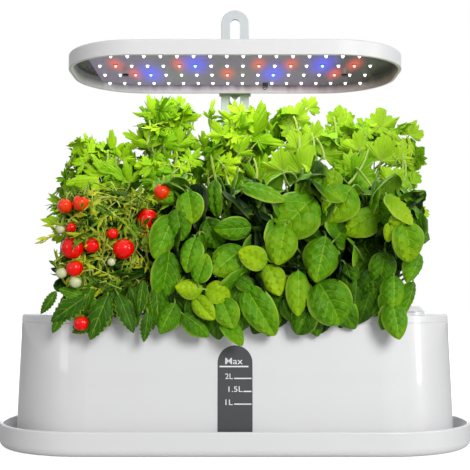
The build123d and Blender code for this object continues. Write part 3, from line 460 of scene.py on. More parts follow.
def boardMaterial():
    # White solder mask, painted grey violet in shade and chip light beside the lit chips and in painted shade
    # browner and darker towards the right end, with the light of the red and blue chips painted on it as a
    # glow.
    material, tree, shader = newMaterial("boardMaskPaintedShadeAndLight", **{"Emission Strength": 1.0})
    across = axisValues(tree, objectPlace(tree))["X"]
    color = colorStops(tree, ramp(tree, across, (-board["end"], board["end"])), board["colors"])
    wear(tree, shader, skin(tree, color, board["roughness"], patch=(60.0, 0.25)), ("Color", "Roughness"))
    fade = ramp(tree, across, board["glowFade"], (1.0, 0.0))
    glow = blendColors(tree, fade, (0.0, 0.0, 0.0), board["glow"])
    for kind, (_, color) in lampLight["halos"].items():
        mask = useGroup(tree, makeHaloGroup(kind))["Mask"]
        glow = blendColors(tree, calc(tree, "MINIMUM", mask, 1.0), glow, color)
    tree.links.new(glow, shader.inputs["Emission Color"])
    return material


lampShell = {
    "center": (0.0, -0.0219, 0.0),
    "end": 0.138,  # x of the inner right end
    "rimTop": 0.3190,  # faces below are the rim, which stays white
    "innerTop": 0.3275,
    # painted shade of the recess: the ceiling's colours across it, near black at the right end
    "ceiling": [(0.0, (0.036, 0.032, 0.037)), (0.5, (0.032, 0.028, 0.032)), (0.85, (0.012, 0.009, 0.007)),
                (1.0, (0.004, 0.003, 0.002))],
    "speckleScale": 420.0,
    "speckleBand": (0.46, 0.58),
    "speckleGain": (0.15, 3.5),
    # painted shade high on the walls and painted light of the chips low on them, across the housing
    "wallHighShade": [(0.0, (0.16, 0.15, 0.16)), (0.3, (0.15, 0.11, 0.19)), (0.7, (0.15, 0.10, 0.15)),
                 (1.0, (0.02, 0.015, 0.012))],
    "wallLowLight": [(0.0, (0.50, 0.50, 0.50)), (0.3, (0.85, 0.74, 0.88)), (0.7, (0.85, 0.70, 0.82)),
                (1.0, (0.20, 0.14, 0.13))],
    "wallHeights": (0.3232, 0.3175),  # where the walls leave their high colours and reach the low ones
    "streakScale": 110.0,
    "streakDepth": 0.9,
    "wallGlow": 0.42,  # light of the chips on the walls
}


def lampShellMaterial(look):
    # White outside; inside, a speckled ceiling in painted shade, darkest towards the right end, and walls in
    # painted shade and painted light of the chips that pass from violet grey to pale at the rim.
    material, tree, shader = newMaterial("lampShell")
    outputs = put(tree, "TexCoord").outputs
    place, normal = outputs["Object"], outputs["Normal"]
    x, _, z = axisValues(tree, place)
    flat = vectorCalc(tree, "MULTIPLY", vectorCalc(tree, "SUBTRACT", place, lampShell["center"]), (1, 1, 0))
    inward = calc(tree, "LESS_THAN", vectorCalc(tree, "DOT_PRODUCT", flat, normal), -0.001)
    wall = calc(tree, "MULTIPLY", inward, calc(tree, "LESS_THAN", z, lampShell["innerTop"]))
    down = calc(tree, "LESS_THAN", axisValues(tree, normal)["Z"], -0.5)
    ceiling = calc(tree, "MULTIPLY", down, calc(tree, "GREATER_THAN", z, lampShell["rimTop"]))
    share = ramp(tree, x, (-lampShell["end"], lampShell["end"]))
    speckles = noise(tree, place, lampShell["speckleScale"], 1.0)
    speckles = ramp(tree, speckles, lampShell["speckleBand"], lampShell["speckleGain"])
    ceilingShadeColor = brightened(tree, colorStops(tree, share, lampShell["ceiling"]), speckles)
    stretched = vectorCalc(tree, "MULTIPLY", place, (1.0, 0.2, 0.1))
    streaks = noise(tree, stretched, lampShell["streakScale"], 1.0)
    height = unsettled(tree, ramp(tree, z, lampShell["wallHeights"]), streaks, lampShell["streakDepth"])
    wallShadesAndLights = [colorStops(tree, share, lampShell[key]) for key in ("wallHighShade", "wallLowLight")]
    wallShadeAndLight = blendColors(tree, height, *wallShadesAndLights)
    surface = skin(tree, look["color"], look["roughness"], patch=(30.0, 0.02), grain=(900.0, 0.03))
    color = blendColors(tree, ceiling, blendColors(tree, wall, surface["Color"], wallShadeAndLight), ceilingShadeColor)
    wear(tree, shader, surface, ("Roughness", "Normal"))
    tree.links.new(color, shader.inputs["Base Color"])
    tree.links.new(wallShadeAndLight, shader.inputs["Emission Color"])
    tree.links.new(calc(tree, "MULTIPLY", wall, lampShell["wallGlow"]), shader.inputs["Emission Strength"])
    return material


cover = {
    "color": (0.9, 0.92, 0.92),
    "roughness": 0.35,
    "haze": (0.02, 0.05),  # least and greatest share of light that it stops
    "screwHead": 0.0015,  # height of the heads of its screws
    "headColor": (0.008, 0.008, 0.009),
    # painted light of the chips on the screws' shanks
    "shankChipLight": (0.62, 0.52, 0.54),
}


def coverMaterial():
    # Clear sheet: mostly see-through, with a soft gloss and faint haze.
    shaderValues = {"Base Color": cover["color"], "Roughness": cover["roughness"], "Specular IOR Level": 0.04}
    material, tree, shader = newMaterial("clearSheet", **shaderValues)
    haze = noise(tree, objectPlace(tree), 25.0, 4.0)
    tree.links.new(ramp(tree, haze, (0.0, 1.0), cover["haze"]), shader.inputs["Alpha"])
    return material


def coverScrewMaterial():
    # Black heads under shanks whose pale pink is painted light of the chips.
    material, tree, shader = newMaterial("coverScrew")
    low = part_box("cover_screws")[0][2]
    height = axisValues(tree, objectPlace(tree))["Z"]
    shank = calc(tree, "GREATER_THAN", height, low + cover["screwHead"])
    color = blendColors(tree, shank, cover["headColor"], cover["shankChipLight"])
    wear(tree, shader, skin(tree, color, 0.5, patch=(900.0, 0.3)))
    return material


def dressSolids():
    # Each node takes the material of its slot; the lamp's housing and its cover's screws have their own.
    slots = {part["node"]: part["material_slot"] for part in frame["record"]["subparts"]}
    materials = {name: skinMaterial(name, **values) for name, values in finishes.items()}
    materials["window_plastic"] = windowMaterial()
    for kind in ("white", "red", "blue"):
        materials["led_" + kind] = ledMaterial(kind)
    materials["board_white"] = boardMaterial()
    materials["clear_cover"] = coverMaterial()
    for name, node in cadNodes.items():
        if slots[name] in materials:
            node.data.materials.clear()
            node.data.materials.append(materials[slots[name]])
    cadNodes["lamp_housing"].data.materials[0] = lampShellMaterial(finishes["lamp_plastic"])
    cadNodes["cover_screws"].data.materials[0] = coverScrewMaterial()
    print("solids dressed in", len(materials) + 2, "materials")


# Mesh helpers
sharpAngle = 40.0  # degrees between faces from which an edge is drawn sharp


def normalized(vectors):
    return vectors / np.linalg.norm(vectors, axis=-1, keepdims=True)


def makeObject(name, points, quads, triangles, values, material):
    # Mesh from arrays of points, four-cornered and three-cornered faces, and named values on the points.
    mesh = bpy.data.meshes.new(name)
    mesh.vertices.add(len(points))
    mesh.vertices.foreach_set("co", points.astype(np.float32).ravel())
    corners = np.concatenate([quads.ravel(), triangles.ravel()]).astype(np.int32)
    sizes = np.concatenate([np.full(len(quads), 4), np.full(len(triangles), 3)])
    starts = np.concatenate([[0], np.cumsum(sizes)[:-1]]).astype(np.int32)
    mesh.loops.add(len(corners))
    mesh.loops.foreach_set("vertex_index", corners)
    mesh.polygons.add(len(sizes))
    mesh.polygons.foreach_set("loop_start", starts)
    mesh.update(calc_edges=True)
    for label, array in values.items():
        vector = array.ndim == 2
        layer = mesh.attributes.new(label, "FLOAT_VECTOR" if vector else "FLOAT", "POINT")
        layer.data.foreach_set("vector" if vector else "value", array.astype(np.float32).ravel())
    mesh.polygons.foreach_set("use_smooth", np.ones(len(sizes), bool))
    mesh.set_sharp_from_angle(angle=math.radians(sharpAngle))
    piece = bpy.data.objects.new(name, mesh)
    bpy.context.scene.collection.objects.link(piece)
    mesh.materials.append(material)
    return piece


def closedShells(rings, starts, ends):
    # Shells whose rings (shell, row, place round the ring) are joined row to row and closed by a point
    # at each end.
    count, rows, ring = rings.shape[:3]
    points = np.concatenate([rings.reshape(count, -1, 3), starts[:, None], ends[:, None]], 1)
    i, j = [a.ravel() for a in np.meshgrid(np.arange(rows - 1), np.arange(ring), indexing="ij")]
    k = (j + 1) % ring
    quads = np.stack([i * ring + j, i * ring + k, (i + 1) * ring + k, (i + 1) * ring + j], 1)
    j = np.arange(ring)
    k = (j + 1) % ring
    first = np.stack([np.full(ring, rows * ring), k, j], 1)
    last = np.stack([np.full(ring, rows * ring + 1), (rows - 1) * ring + j, (rows - 1) * ring + k], 1)
    offsets = (rows * ring + 2) * np.arange(count)[:, None, None]
    quads = (quads + offsets).reshape(-1, 4)
    triangles = (np.concatenate([first, last]) + offsets).reshape(-1, 3)
    return points.reshape(-1, 3), quads, triangles


def joinParts(parts):
    # Several (points, quads, triangles, values) sets as one.
    points, quads, triangles, values, offset = [], [], [], {}, 0
    for p, q, t, v in parts:
        points.append(p)
        quads.append(q + offset)
        triangles.append(t + offset)
        for label, array in v.items():
            values.setdefault(label, []).append(array)
        offset += len(p)
    return (np.concatenate(points), np.concatenate(quads), np.concatenate(triangles),
            {label: np.concatenate(arrays) for label, arrays in values.items()})


def shellValues(place, tone, baseShade=0.0):
    # Values on the points of leaf shells: where on the leaf each point is, and the leaf's tone, which grows
    # by the painted base shade from the base to the tip.
    count = len(place)
    poles = np.zeros((count, 2, 3))
    poles[:, 0] = (0.0, 0.5, 0.0)
    poles[:, 1] = (1.0, 0.5, 0.0)
    place = np.concatenate([place.reshape(count, -1, 3), poles], 1)
    tones = np.broadcast_to(tone, count)[:, None] + baseShade * (place[..., 0] - 0.5)
    return {"leafPlace": place.reshape(-1, 3), "tone": tones.ravel()}


def leafAxes(along, toward, roll=0.0):
    # Along, up and side of each leaf: up is the part of toward at right angles to along, turned by roll.
    along = normalized(along)
    up = toward - along * np.sum(along * toward, -1, keepdims=True)
    up = normalized(up)
    side = np.cross(up, along)
    turn = np.radians(np.broadcast_to(roll, along.shape[:1]))[:, None]
    return along, up * np.cos(turn) + side * np.sin(turn), side * np.cos(turn) - up * np.sin(turn)


def ringPlaces(across):
    # Places round a leaf's section, from the +side rim over the top to the other rim and back below.
    top = np.cos(np.pi * np.arange(across) / (across - 1))
    v = np.concatenate([top, top[-2:0:-1]])
    level = np.concatenate([[0.0], np.ones(across - 2), [0.0], -np.ones(across - 2)])
    return v, level


def perLeaf(value, count):
    return np.broadcast_to(value, count).astype(float)[:, None, None]


veinBend = 1.4  # power by which side veins bend towards the tip

bladeDefaults = {
    "widest": 0.42,  # share of the length where the leaf is widest
    "bluntness": 0.5,  # low is a broad oval, high is a slim lens
    "cup": 0.20,  # how far the rims drop, as a share of the half width
    "fold": 0.0,  # how far the rims drop in a straight line
    "bulge": 0.20,  # how far each half rises between midrib and rim
    "quilt": 0.05,  # height of the pads between side veins
    "veins": 5.0,
    "slant": 0.35,
    "wave": 0.05,  # depth of the waves along the rims
    "waveTurn": 9.0,  # radians of a wave along the leaf
    "teeth": 0.0,  # depth of the notches in the rim
    # baseShade is painted shade: the base of the leaf darker than its tip
    "baseShade": 0.0,  # how much lighter the tip is than the base
    "thickness": 0.0004,
    "rows": 10,
    "across": 7,
}


def bladeShells(base, axes, length, width, curl, tone, seed, **changes):
    # Leaf on a grid of u along the midrib and v across: the midrib is an arc, the half width follows
    # u^p (1-u)^q, and the height is a dome with pads between the side veins.
    p = dict(bladeDefaults, **changes)
    along, up, side = [a[:, None, None] for a in axes]
    count = len(base)
    rows = p["rows"]
    u = (1 - np.cos(np.pi * np.arange(1, rows + 1) / (rows + 1))) / 2
    v, level = ringPlaces(p["across"])
    u, v, level = u[None, :, None], v[None, None], level[None, None]
    fall = p["bluntness"] * (1 - p["widest"]) / p["widest"]
    half = (u / p["widest"]) ** p["bluntness"] * ((1 - u) / (1 - p["widest"])) ** fall
    notch = 1 - p["teeth"] * (np.arange(rows) % 2)[None, :, None]
    phase = np.random.default_rng(seed).uniform(0, 2 * np.pi, (count, 2, 1, 1))
    length, width, curl = [perLeaf(value, count) for value in (length, width, curl)]
    curl = np.where(np.abs(curl) < 0.01, 0.01, curl)
    halfWidth = width / 2 * half * notch
    cup, bulge, fold = [perLeaf(p[key], count) for key in ("cup", "bulge", "fold")]
    rim = np.abs(v)
    swell = np.sin(np.pi * rim)
    pads = np.sin(np.pi * p["veins"] * (u - p["slant"] * rim ** veinBend)) ** 2 - 0.5
    ripple = np.sin(p["waveTurn"] * u + np.where(v > 0, phase[:, 0], phase[:, 1]))
    height = -cup * v ** 2 - fold * rim + bulge * swell + p["quilt"] * pads * swell ** 0.7
    height = height + p["wave"] * v ** 2 * ripple
    height = halfWidth * height + level * p["thickness"] / 2
    bend = curl * u
    out = length * np.sin(bend) / curl
    drop = length * (1 - np.cos(bend)) / curl
    ahead = (out + height * np.sin(bend))[..., None]
    lift = (height * np.cos(bend) - drop)[..., None]
    rings = base[:, None, None] + along * ahead + up * lift + side * (halfWidth * v)[..., None]
    endOut = (length * np.sin(curl) / curl)[:, 0]
    endDrop = (length * (1 - np.cos(curl)) / curl)[:, 0]
    ends = base + axes[0] * endOut - axes[1] * endDrop
    place = np.broadcast_arrays(u + 0 * halfWidth, (v + 1) / 2, np.maximum(-level, 0))
    return (*closedShells(rings, base, ends), shellValues(np.stack(place, -1), tone, p["baseShade"]))


fanDefaults = {
    "spread": 100.0,  # degrees to each side of the middle
    "lobes": 3,
    "lobeDepth": 0.5,
    "lobeBluntness": 0.6,
    "fingers": 3,  # to each lobe
    "fingerDepth": 0.2,
    "fingerRows": (0.0, 0.30, 0.70),  # places of the rows in a finger, from one notch to the next
    "uneven": 0.08,  # chance part of each row's reach
    "stretch": 0.25,  # how much longer the middle lobe is
    "innerEnd": 0.04,  # share of the reach where the rows start
    "cup": 0.2,
    "ruffle": 0.08,
    "ruffleTurns": 5,
    "thickness": 0.0004,
    "across": 3,
}


def fanShells(base, axes, size, tone, seed, **changes):
    # Fan-shaped leaf: rows turn round the base, and each reaches from the base out to a rim that a
    # cosine parts into lobes and notches part into blunt fingers.
    p = dict(fanDefaults, **changes)
    along, up, side = [a[:, None, None] for a in axes]
    count = len(base)
    total = p["lobes"] * p["fingers"]
    inFinger = len(p["fingerRows"])
    step = (np.arange(total)[:, None] + np.array(p["fingerRows"])).ravel()
    turn = np.append(step, total) / total * 2 - 1
    notch = np.append(np.arange(total * inFinger) % inFinger == 0, True)
    angle = np.radians(turn * p["spread"])
    lobes = (0.5 + 0.5 * np.cos(np.pi * turn * p["lobes"])) ** p["lobeBluntness"]
    rim = (1 - p["lobeDepth"] * (1 - lobes)) * (1 - p["fingerDepth"] * notch)
    rim = rim * (1 + p["stretch"] * np.cos(angle)) / (1 + p["stretch"])
    random = np.random.default_rng(seed)
    uneven = 1 + p["uneven"] * random.standard_normal((count, len(turn), 1))
    rim = rim[None, :, None] * uneven * perLeaf(size, count)
    phase = random.uniform(0, 2 * np.pi, (count, 1, 1))
    angle = angle[None, :, None]
    v, level = ringPlaces(p["across"])
    reach = ((1 + p["innerEnd"]) / 2 + (1 - p["innerEnd"]) / 2 * v)[None, None]
    height = -p["cup"] * reach ** 2 + p["ruffle"] * reach * np.sin(p["ruffleTurns"] * angle + phase)
    height = rim * height + level[None, None] * p["thickness"] / 2
    outward = along * np.cos(angle)[..., None] - side * np.sin(angle)[..., None]
    rings = base[:, None, None] + outward * (rim * reach)[..., None] + up * height[..., None]
    under = np.maximum(-level, 0)[None, None]
    place = np.broadcast_arrays(turn[None, :, None] / 2 + 0.5 + 0 * uneven, reach, under)
    return (*closedShells(rings, base, base), shellValues(np.stack(place, -1), tone))


def tubeShells(paths, radius, taper, sides, tone):
    # Round stems: a ring about each point of the paths, square to the path, with a radius that passes
    # from the first to the second share of taper.
    steps = paths.shape[1]
    tangent = normalized(np.gradient(paths, axis=1))
    side = normalized(np.cross(np.array([0.31, 0.90, 0.30]), tangent))
    up = np.cross(tangent, side)
    angle = 2 * np.pi * np.arange(sides) / sides
    ring = side[:, :, None] * np.cos(angle)[:, None] + up[:, :, None] * np.sin(angle)[:, None]
    radii = np.linspace(*taper, steps) * radius
    rings = paths[:, :, None] + ring * radii[:, None, None]
    place = np.zeros(rings.shape)
    place[..., 0] = np.linspace(0, 1, steps)[None, :, None]
    place[..., 1] = 0.5
    return (*closedShells(rings, paths[:, 0], paths[:, -1]), shellValues(place, tone))


def bentPaths(starts, middles, ends, steps):
    # Points of a quadratic curve that leaves starts towards middles and arrives at ends.
    t = np.linspace(0, 1, steps)[None, :, None]
    return starts[:, None] * (1 - t) ** 2 + 2 * middles[:, None] * t * (1 - t) + ends[:, None] * t ** 2


def addPiece(name, parts, material, nodes=(), body="deck"):
    piece = makeObject(name, *joinParts(parts), material)
    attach(piece, body)
    if nodes:
        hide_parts(*nodes)
    print(name, len(piece.data.polygons), "faces")


# Gauge marks
gauge = {
    "thickness": 0.00012,
    "sunk": 0.2,  # share of the thickness that is in the pane
    "boldness": 0.003,
    "color": (0.86, 0.87, 0.88),
    # text, columns of its left and right ends, rows of its foot and of its top
    "texts": [("Max", 225.7, 243.3, 364.3, 357.8), ("2L", 225.7, 233.3, 379.0, 373.4),
              ("1.5L", 229.0, 243.1, 391.9, 386.4), ("1L", 226.0, 233.3, 405.0, 399.4)],
    # columns where each line starts and ends, its row and its height in rows
    "lines": [(219.9, 249.0, 366.5, 1.4), (234.7, 252.0, 378.4, 1.2), (244.0, 252.0, 391.4, 1.2),
              (234.7, 252.0, 404.1, 1.2)],
}


def textMesh(text):
    # Closed mesh of a text, with a corner at zero and unit width, height and thickness.
    curve = bpy.data.curves.new("mark", "FONT")
    curve.body = text
    curve.extrude = 0.02
    curve.offset = gauge["boldness"]
    curve.resolution_u = 3
    holder = bpy.data.objects.new("mark", curve)
    mesh = bmesh.new()
    mesh.from_mesh(holder.to_mesh())
    bmesh.ops.remove_doubles(mesh, verts=mesh.verts, dist=0.0005)
    bmesh.ops.triangulate(mesh, faces=mesh.faces)
    mesh.verts.index_update()
    points = np.array([v.co[:] for v in mesh.verts])
    faces = np.array([[v.index for v in f.verts] for f in mesh.faces])
    mesh.free()
    holder.to_mesh_clear()
    bpy.data.objects.remove(holder)
    low, high = points.min(0), points.max(0)
    return (points - low) / (high - low), faces


def makeGauge():
    # Raised marks on the pane: each is laid between the points where the sight lines meet its face.
    points, corners = meshArrays("level_window")
    pane = BVHTree.FromPolygons(points.tolist(), corners.tolist())
    start = Vector(eye["place"])

    def onPane(column, row):
        way = Vector(seenAt(column, row, 0.0)) - start
        return np.array(pane.ray_cast(start, way.normalized())[0])

    block = np.array([[x, y, z] for x in (0, 1) for y in (0, 1) for z in (0, 1)], float)
    sides = np.array([[0, 1, 3, 2], [4, 6, 7, 5], [0, 4, 5, 1], [2, 3, 7, 6], [0, 2, 6, 4], [1, 5, 7, 3]])
    none = np.zeros((0, 4), int)
    shapes = [(*textMesh(text), *ends) for text, *ends in gauge["texts"]]
    for left, right, row, height in gauge["lines"]:
        shapes.append((block, sides, left, right, row + height / 2, row - height / 2))
    parts = []
    for unit, faces, left, right, foot, top in shapes:
        origin = onPane(left, foot)
        across = onPane(right, foot) - origin
        up = onPane(left, top) - origin
        out = normalized(np.cross(across, up)) * gauge["thickness"]
        points = origin + unit[:, :1] * across + unit[:, 1:2] * up + (unit[:, 2:] - gauge["sunk"]) * out
        parts.append((points, faces, none[:, :3], {}) if faces.shape[1] == 4 else (points, none, faces, {}))
    paint = skinMaterial("gaugeInk", gauge["color"], 0.5, patch=(400.0, 0.05))
    addPiece("gaugeMarks", parts, paint, body="tank")


# Leaf and stem materials
veinOutputs = {"Vein": "Float", "Rib": "Float", "Under": "Float"}


def leafPlace(tree):
    return axisValues(tree, pointValue(tree, "leafPlace", "Vector"))


def veinLines(tree, turns, width):
    # Lines where turns is a whole number, fading out over their width to both sides.
    wave = calc(tree, "FRACT", turns)
    return fadeOut(tree, calc(tree, "MINIMUM", wave, calc(tree, "SUBTRACT", 1.0, wave)), width)


def makeBladeVeinGroup():
    # Masks of a blade: side veins that leave the midrib at a slant, the midrib with a pale rim painted as
    # light caught on the thin edge, and the under side, all from where on the leaf the point is.
    starts = {"Veins": 5.0, "Slant": 0.35, "Vein Width": 0.10, "Rib Width": 0.06}
    tree, inside, out = newGroup("bladeVeins", starts, veinOutputs)
    along, side, under = leafPlace(tree)
    across = calc(tree, "ABSOLUTE", calc(tree, "MULTIPLY", calc(tree, "SUBTRACT", side, 0.5), 2.0))
    bent = calc(tree, "MULTIPLY", calc(tree, "POWER", across, veinBend), inside["Slant"])
    turns = calc(tree, "MULTIPLY", calc(tree, "SUBTRACT", along, bent), inside["Veins"])
    fade = calc(tree, "SUBTRACT", 1.0, calc(tree, "MULTIPLY", across, 0.6))
    rib = fadeOut(tree, across, inside["Rib Width"])
    # painted light: the pale rim where the thin edge catches light
    rim = ramp(tree, across, (0.84, 0.97), (0.0, 1.3))
    return giveOut(tree, out, {
        "Vein": calc(tree, "MULTIPLY", veinLines(tree, turns, inside["Vein Width"]), fade),
        "Rib": calc(tree, "MAXIMUM", rib, rim),
        "Under": under,
    })


def makeFanVeinGroup():
    # Masks of a fan-shaped leaf: veins that spread from its base, the base itself and the under side.
    tree, inside, out = newGroup("fanVeins", {"Veins": 9.0, "Vein Width": 0.12}, veinOutputs)
    turn, reach, under = leafPlace(tree)
    turns = calc(tree, "ADD", calc(tree, "MULTIPLY", turn, inside["Veins"]), 0.5)
    return giveOut(tree, out, {
        "Vein": veinLines(tree, turns, inside["Vein Width"]),
        "Rib": ramp(tree, reach, (0.05, 0.5), (1.0, 0.0)),
        "Under": under,
    })


leafLook = {
    "patchScale": 90.0,
    "patchDepth": 0.42,
    "grainScale": 700.0,
    "grainDepth": 0.35,
    "bump": (0.55, 0.0010),  # strength and height
    "roughness": (0.2, 0.34),  # share of the mottling and what is added
    "underColor": (0.22, 0.38, 0.03),
    "underAmount": 0.45,
    "darkVeins": 0.08,  # share of the veins that is left on the darkest leaves
}


def makeLeafGroup():
    # Leaf colour from its tone, which holds its own green and painted shade and light both, and a mottling,
    # paler along veins and below, with a fine normal.
    tree, inside, out = newGroup("leafSurface", {
        "Dark": (0.02, 0.08, 0.01, 1), "Middle": (0.10, 0.30, 0.03, 1), "Light": (0.35, 0.55, 0.06, 1),
        "Vein Color": (0.30, 0.50, 0.12, 1), "Vein": 0.0, "Rib": 0.0, "Under": 0.0, "Vein Amount": 0.4,
    }, surfaceOutputs)
    place = objectPlace(tree)
    patch = noise(tree, place, leafLook["patchScale"], 3.0)
    level = unsettled(tree, pointValue(tree, "tone"), patch, leafLook["patchDepth"])
    color = blendColors(tree, ramp(tree, level, (0.0, 0.5)), inside["Dark"], inside["Middle"])
    color = blendColors(tree, ramp(tree, level, (0.5, 1.0)), color, inside["Light"])
    lit = ramp(tree, level, (0.0, 0.45), (leafLook["darkVeins"], 1.0))
    veins = calc(tree, "MAXIMUM", inside["Vein"], inside["Rib"])
    veins = calc(tree, "MULTIPLY", veins, inside["Vein Amount"])
    color = blendColors(tree, calc(tree, "MULTIPLY", veins, lit), color, inside["Vein Color"])
    under = calc(tree, "MULTIPLY", calc(tree, "MULTIPLY", inside["Under"], leafLook["underAmount"]), lit)
    grain = calc(tree, "MULTIPLY", noise(tree, place, leafLook["grainScale"], 2.0), leafLook["grainDepth"])
    height = calc(tree, "SUBTRACT", grain, inside["Vein"])
    strength, distance = leafLook["bump"]
    bump = put(tree, "Bump", {"Strength": strength, "Distance": distance, "Height": height})
    return giveOut(tree, out, {
        "Color": blendColors(tree, under, color, leafLook["underColor"]),
        "Roughness": calc(tree, "MULTIPLY_ADD", patch, *leafLook["roughness"]),
        "Normal": bump.outputs[0],
    })


bladeVeinGroup = makeBladeVeinGroup()
fanVeinGroup = makeFanVeinGroup()
leafGroup = makeLeafGroup()


def leafMaterial(name, veinGroup, veins, colors, veinAmount):
    # Leaf surface in a dark, a middle and a light colour and the colour of its veins.
    material, tree, shader = newMaterial(name, **{"Specular IOR Level": 0.10})
    masks = useGroup(tree, veinGroup, veins)
    values = dict(zip(("Dark", "Middle", "Light", "Vein Color"), colors))
    values.update({label: masks[label] for label in veinOutputs})
    values["Vein Amount"] = veinAmount
    wear(tree, shader, useGroup(tree, leafGroup, values))
    return material


def stemMaterial(name, colors):
    return leafMaterial(name, bladeVeinGroup, {"Veins": 1.0}, (*colors, (0.4, 0.5, 0.2)), 0.0)


# Crowns: leaves are set on the skin of the plants' solids
pods = {
    "columns": (-0.120, -0.060, 0.0, 0.060, 0.120),
    "frontRow": -0.035,
    "backRow": 0.020,
    "spongeTop": 0.1195,
    "crownLow": 0.1245,
    "clearance": 0.006,  # leaves are left out where the next crown is nearer than this
    "skinGap": 0.002,  # where the look for the next crown starts, above the skin
}
plantNodes = ["tomato_plant", "basil_plants", "celery_plants", "coriander_plants"]


def makeCrownTree():
    points, corners, offset = [], [], 0
    for name in plantNodes:
        own, triangles = meshArrays(name)
        points.extend(own.tolist())
        corners.extend((triangles + offset).tolist())
        offset += len(own)
    return BVHTree.FromPolygons(points, corners)


crownTree = makeCrownTree()


def skinSpots(random, name, count, inset):
    # Seeded spots on a plant's skin with their normals, left out where a neighbour stands close.
    points, corners = meshArrays(name)
    a, b, c = [points[corners[:, k]] for k in range(3)]
    cross = np.cross(b - a, c - a)
    area = np.linalg.norm(cross, axis=1)
    area = area * (a[:, 2] > pods["crownLow"])
    pick = random.choice(len(area), count * 3, p=area / area.sum())
    s, t = random.uniform(0, 1, (2, count * 3, 1))
    flip = s + t > 1
    s, t = np.where(flip, 1 - s, s), np.where(flip, 1 - t, t)
    spots = a[pick] + (b[pick] - a[pick]) * s + (c[pick] - a[pick]) * t
    normals = normalized(cross[pick])
    starts = spots + normals * pods["skinGap"]
    reach = pods["clearance"]
    free = [crownTree.ray_cast(Vector(p), Vector(n), reach)[0] is None for p, n in zip(starts, normals)]
    free = np.array(free) & (spots[:, 2] > pods["crownLow"] + pods["skinGap"])
    spots, normals = spots[free][:count], normals[free][:count]
    return spots - normals * np.broadcast_to(inset, len(spots))[:, None], normals


def tangents(random, normals, outward, upward):
    # Random directions along the skin, leant outwards and upwards by the given shares.
    way = np.cross(normals, normalized(random.standard_normal(normals.shape)))
    return normalized(normalized(way) + normals * outward + np.array([0, 0, upward]))


def skinSeenAt(column, row, plan):
    # Points of the crown's skin seen at columns and rows, or in front of the tank where no crown is seen,
    # with the ways in which they are seen.
    start = Vector(eye["place"])
    onPlane = seenAt(column, row, np.full(len(column), plan["hangAt"]))
    ways = [(Vector(point) - start).normalized() for point in onPlane]
    hits = [crownTree.ray_cast(start, way)[0] for way in ways]
    spots = np.array([point if hit is None else hit for point, hit in zip(onPlane, hits)])
    low = row > plan["hangBelow"]
    spots[low] = seenAt(column, row, np.minimum(spots[:, 1], plan["hangAt"]))[low]
    return spots, np.array(ways)


def placedAxes(plan, column, row, length, tip, lean, roll, layer):
    # Base and axes of leaves placed by column and row, in layers from the front to the back.
    middle, ways = skinSeenAt(column, row, plan)
    middle = middle - ways * (plan["lift"] - layer * plan["layerStep"])[:, None]
    tip, lean = np.radians(tip), np.radians(lean)
    along = np.stack([np.cos(tip) * np.cos(lean), -np.sin(lean), np.sin(tip) * np.cos(lean)], 1)
    axes = leafAxes(along, np.array([[0.0, -1.0, 0.25]]), roll)
    return middle - axes[0] * (length / 2)[:, None], axes


def placedBlades(random, plan, seed, **changes):
    # Leaves of the plan's table, each with a curl of its own.
    column, row, length, width, tip, lean, roll, layer, tone = np.array(plan["leaves"], float).T
    length, width = length * mm, width * mm
    base, axes = placedAxes(plan, column, row, length, tip, lean, roll, layer)
    curl = random.uniform(*plan["curl"], len(base))
    chances = {key: random.uniform(*span, len(base)) for key, span in plan["chances"].items()}
    shells = bladeShells(base, axes, length, width, curl, tone, seed, **plan["shape"], **chances)
    return shells, base, axes[0], length, tone


def innerBlades(random, node, plan, seed):
    # Leaves deep in a crown, dark as painted shade, deeper where its skin faces the front, and lighter past
    # an x as painted light.
    spots, normals = skinSpots(random, node, plan["count"], plan["inset"])
    spots = spots - normals * (plan["frontInset"] * np.clip(-normals[:, 1:2], 0, 1))
    along = tangents(random, normals, 0.1, plan["upward"])
    axes = leafAxes(along, normals + random.normal(0, 0.3, normals.shape))
    length = random.uniform(*plan["length"], len(spots))
    tone = random.uniform(*plan["tone"], len(spots))
    tone = tone + plan["edgeLight"] * np.clip((spots[:, 0] - plan["edge"]) / 0.015, 0, 1)
    base = spots - axes[0] * length[:, None] * 0.5
    return bladeShells(base, axes, length, length * plan["slimness"], 0.5, tone, seed, rows=5, across=5)


def skirtLeaves(random, count, span):
    # Leaves that hang from the crowns' lower front over the edge of the deck.
    x = random.uniform(*span, count)
    spots = np.stack([x, random.uniform(-0.084, -0.074, count), random.uniform(0.122, 0.142, count)], 1)
    along = np.stack([random.normal(0, 0.45, count), random.uniform(-0.25, 0.0, count), -np.ones(count)], 1)
    axes = leafAxes(along, np.array([[0.0, -1.0, 0.2]]) + random.normal(0, 0.25, (count, 3)))
    length = random.uniform(0.020, 0.034, count)
    return spots, axes, length, random.uniform(0.08, 0.36, count)


def petioles(base, along, length, columns, rowY, radius, tone):
    # Leaf stalks that run back from the leaf's base and then down to the nearest plant's stem.
    columns = np.array(columns)
    near = columns[np.argmin(np.abs(base[:, :1] - columns[None]), 1)]
    joint = np.stack([near + (base[:, 0] - near) * 0.25, np.full(len(base), rowY), base[:, 2] - 0.02], 1)
    joint[:, 2] = np.maximum(joint[:, 2], pods["spongeTop"] + 0.004)
    middle = base - along * length[:, None] * 0.45
    middle[:, 2] = np.maximum(middle[:, 2], pods["spongeTop"] + 0.002)
    low, high = np.minimum(joint, base), np.maximum(joint, base)
    middle[:, :2] = np.clip(middle[:, :2], low[:, :2], high[:, :2])
    return tubeShells(bentPaths(joint, middle, base + along * 0.001, 7), radius, (1.3, 0.8), 5, tone)


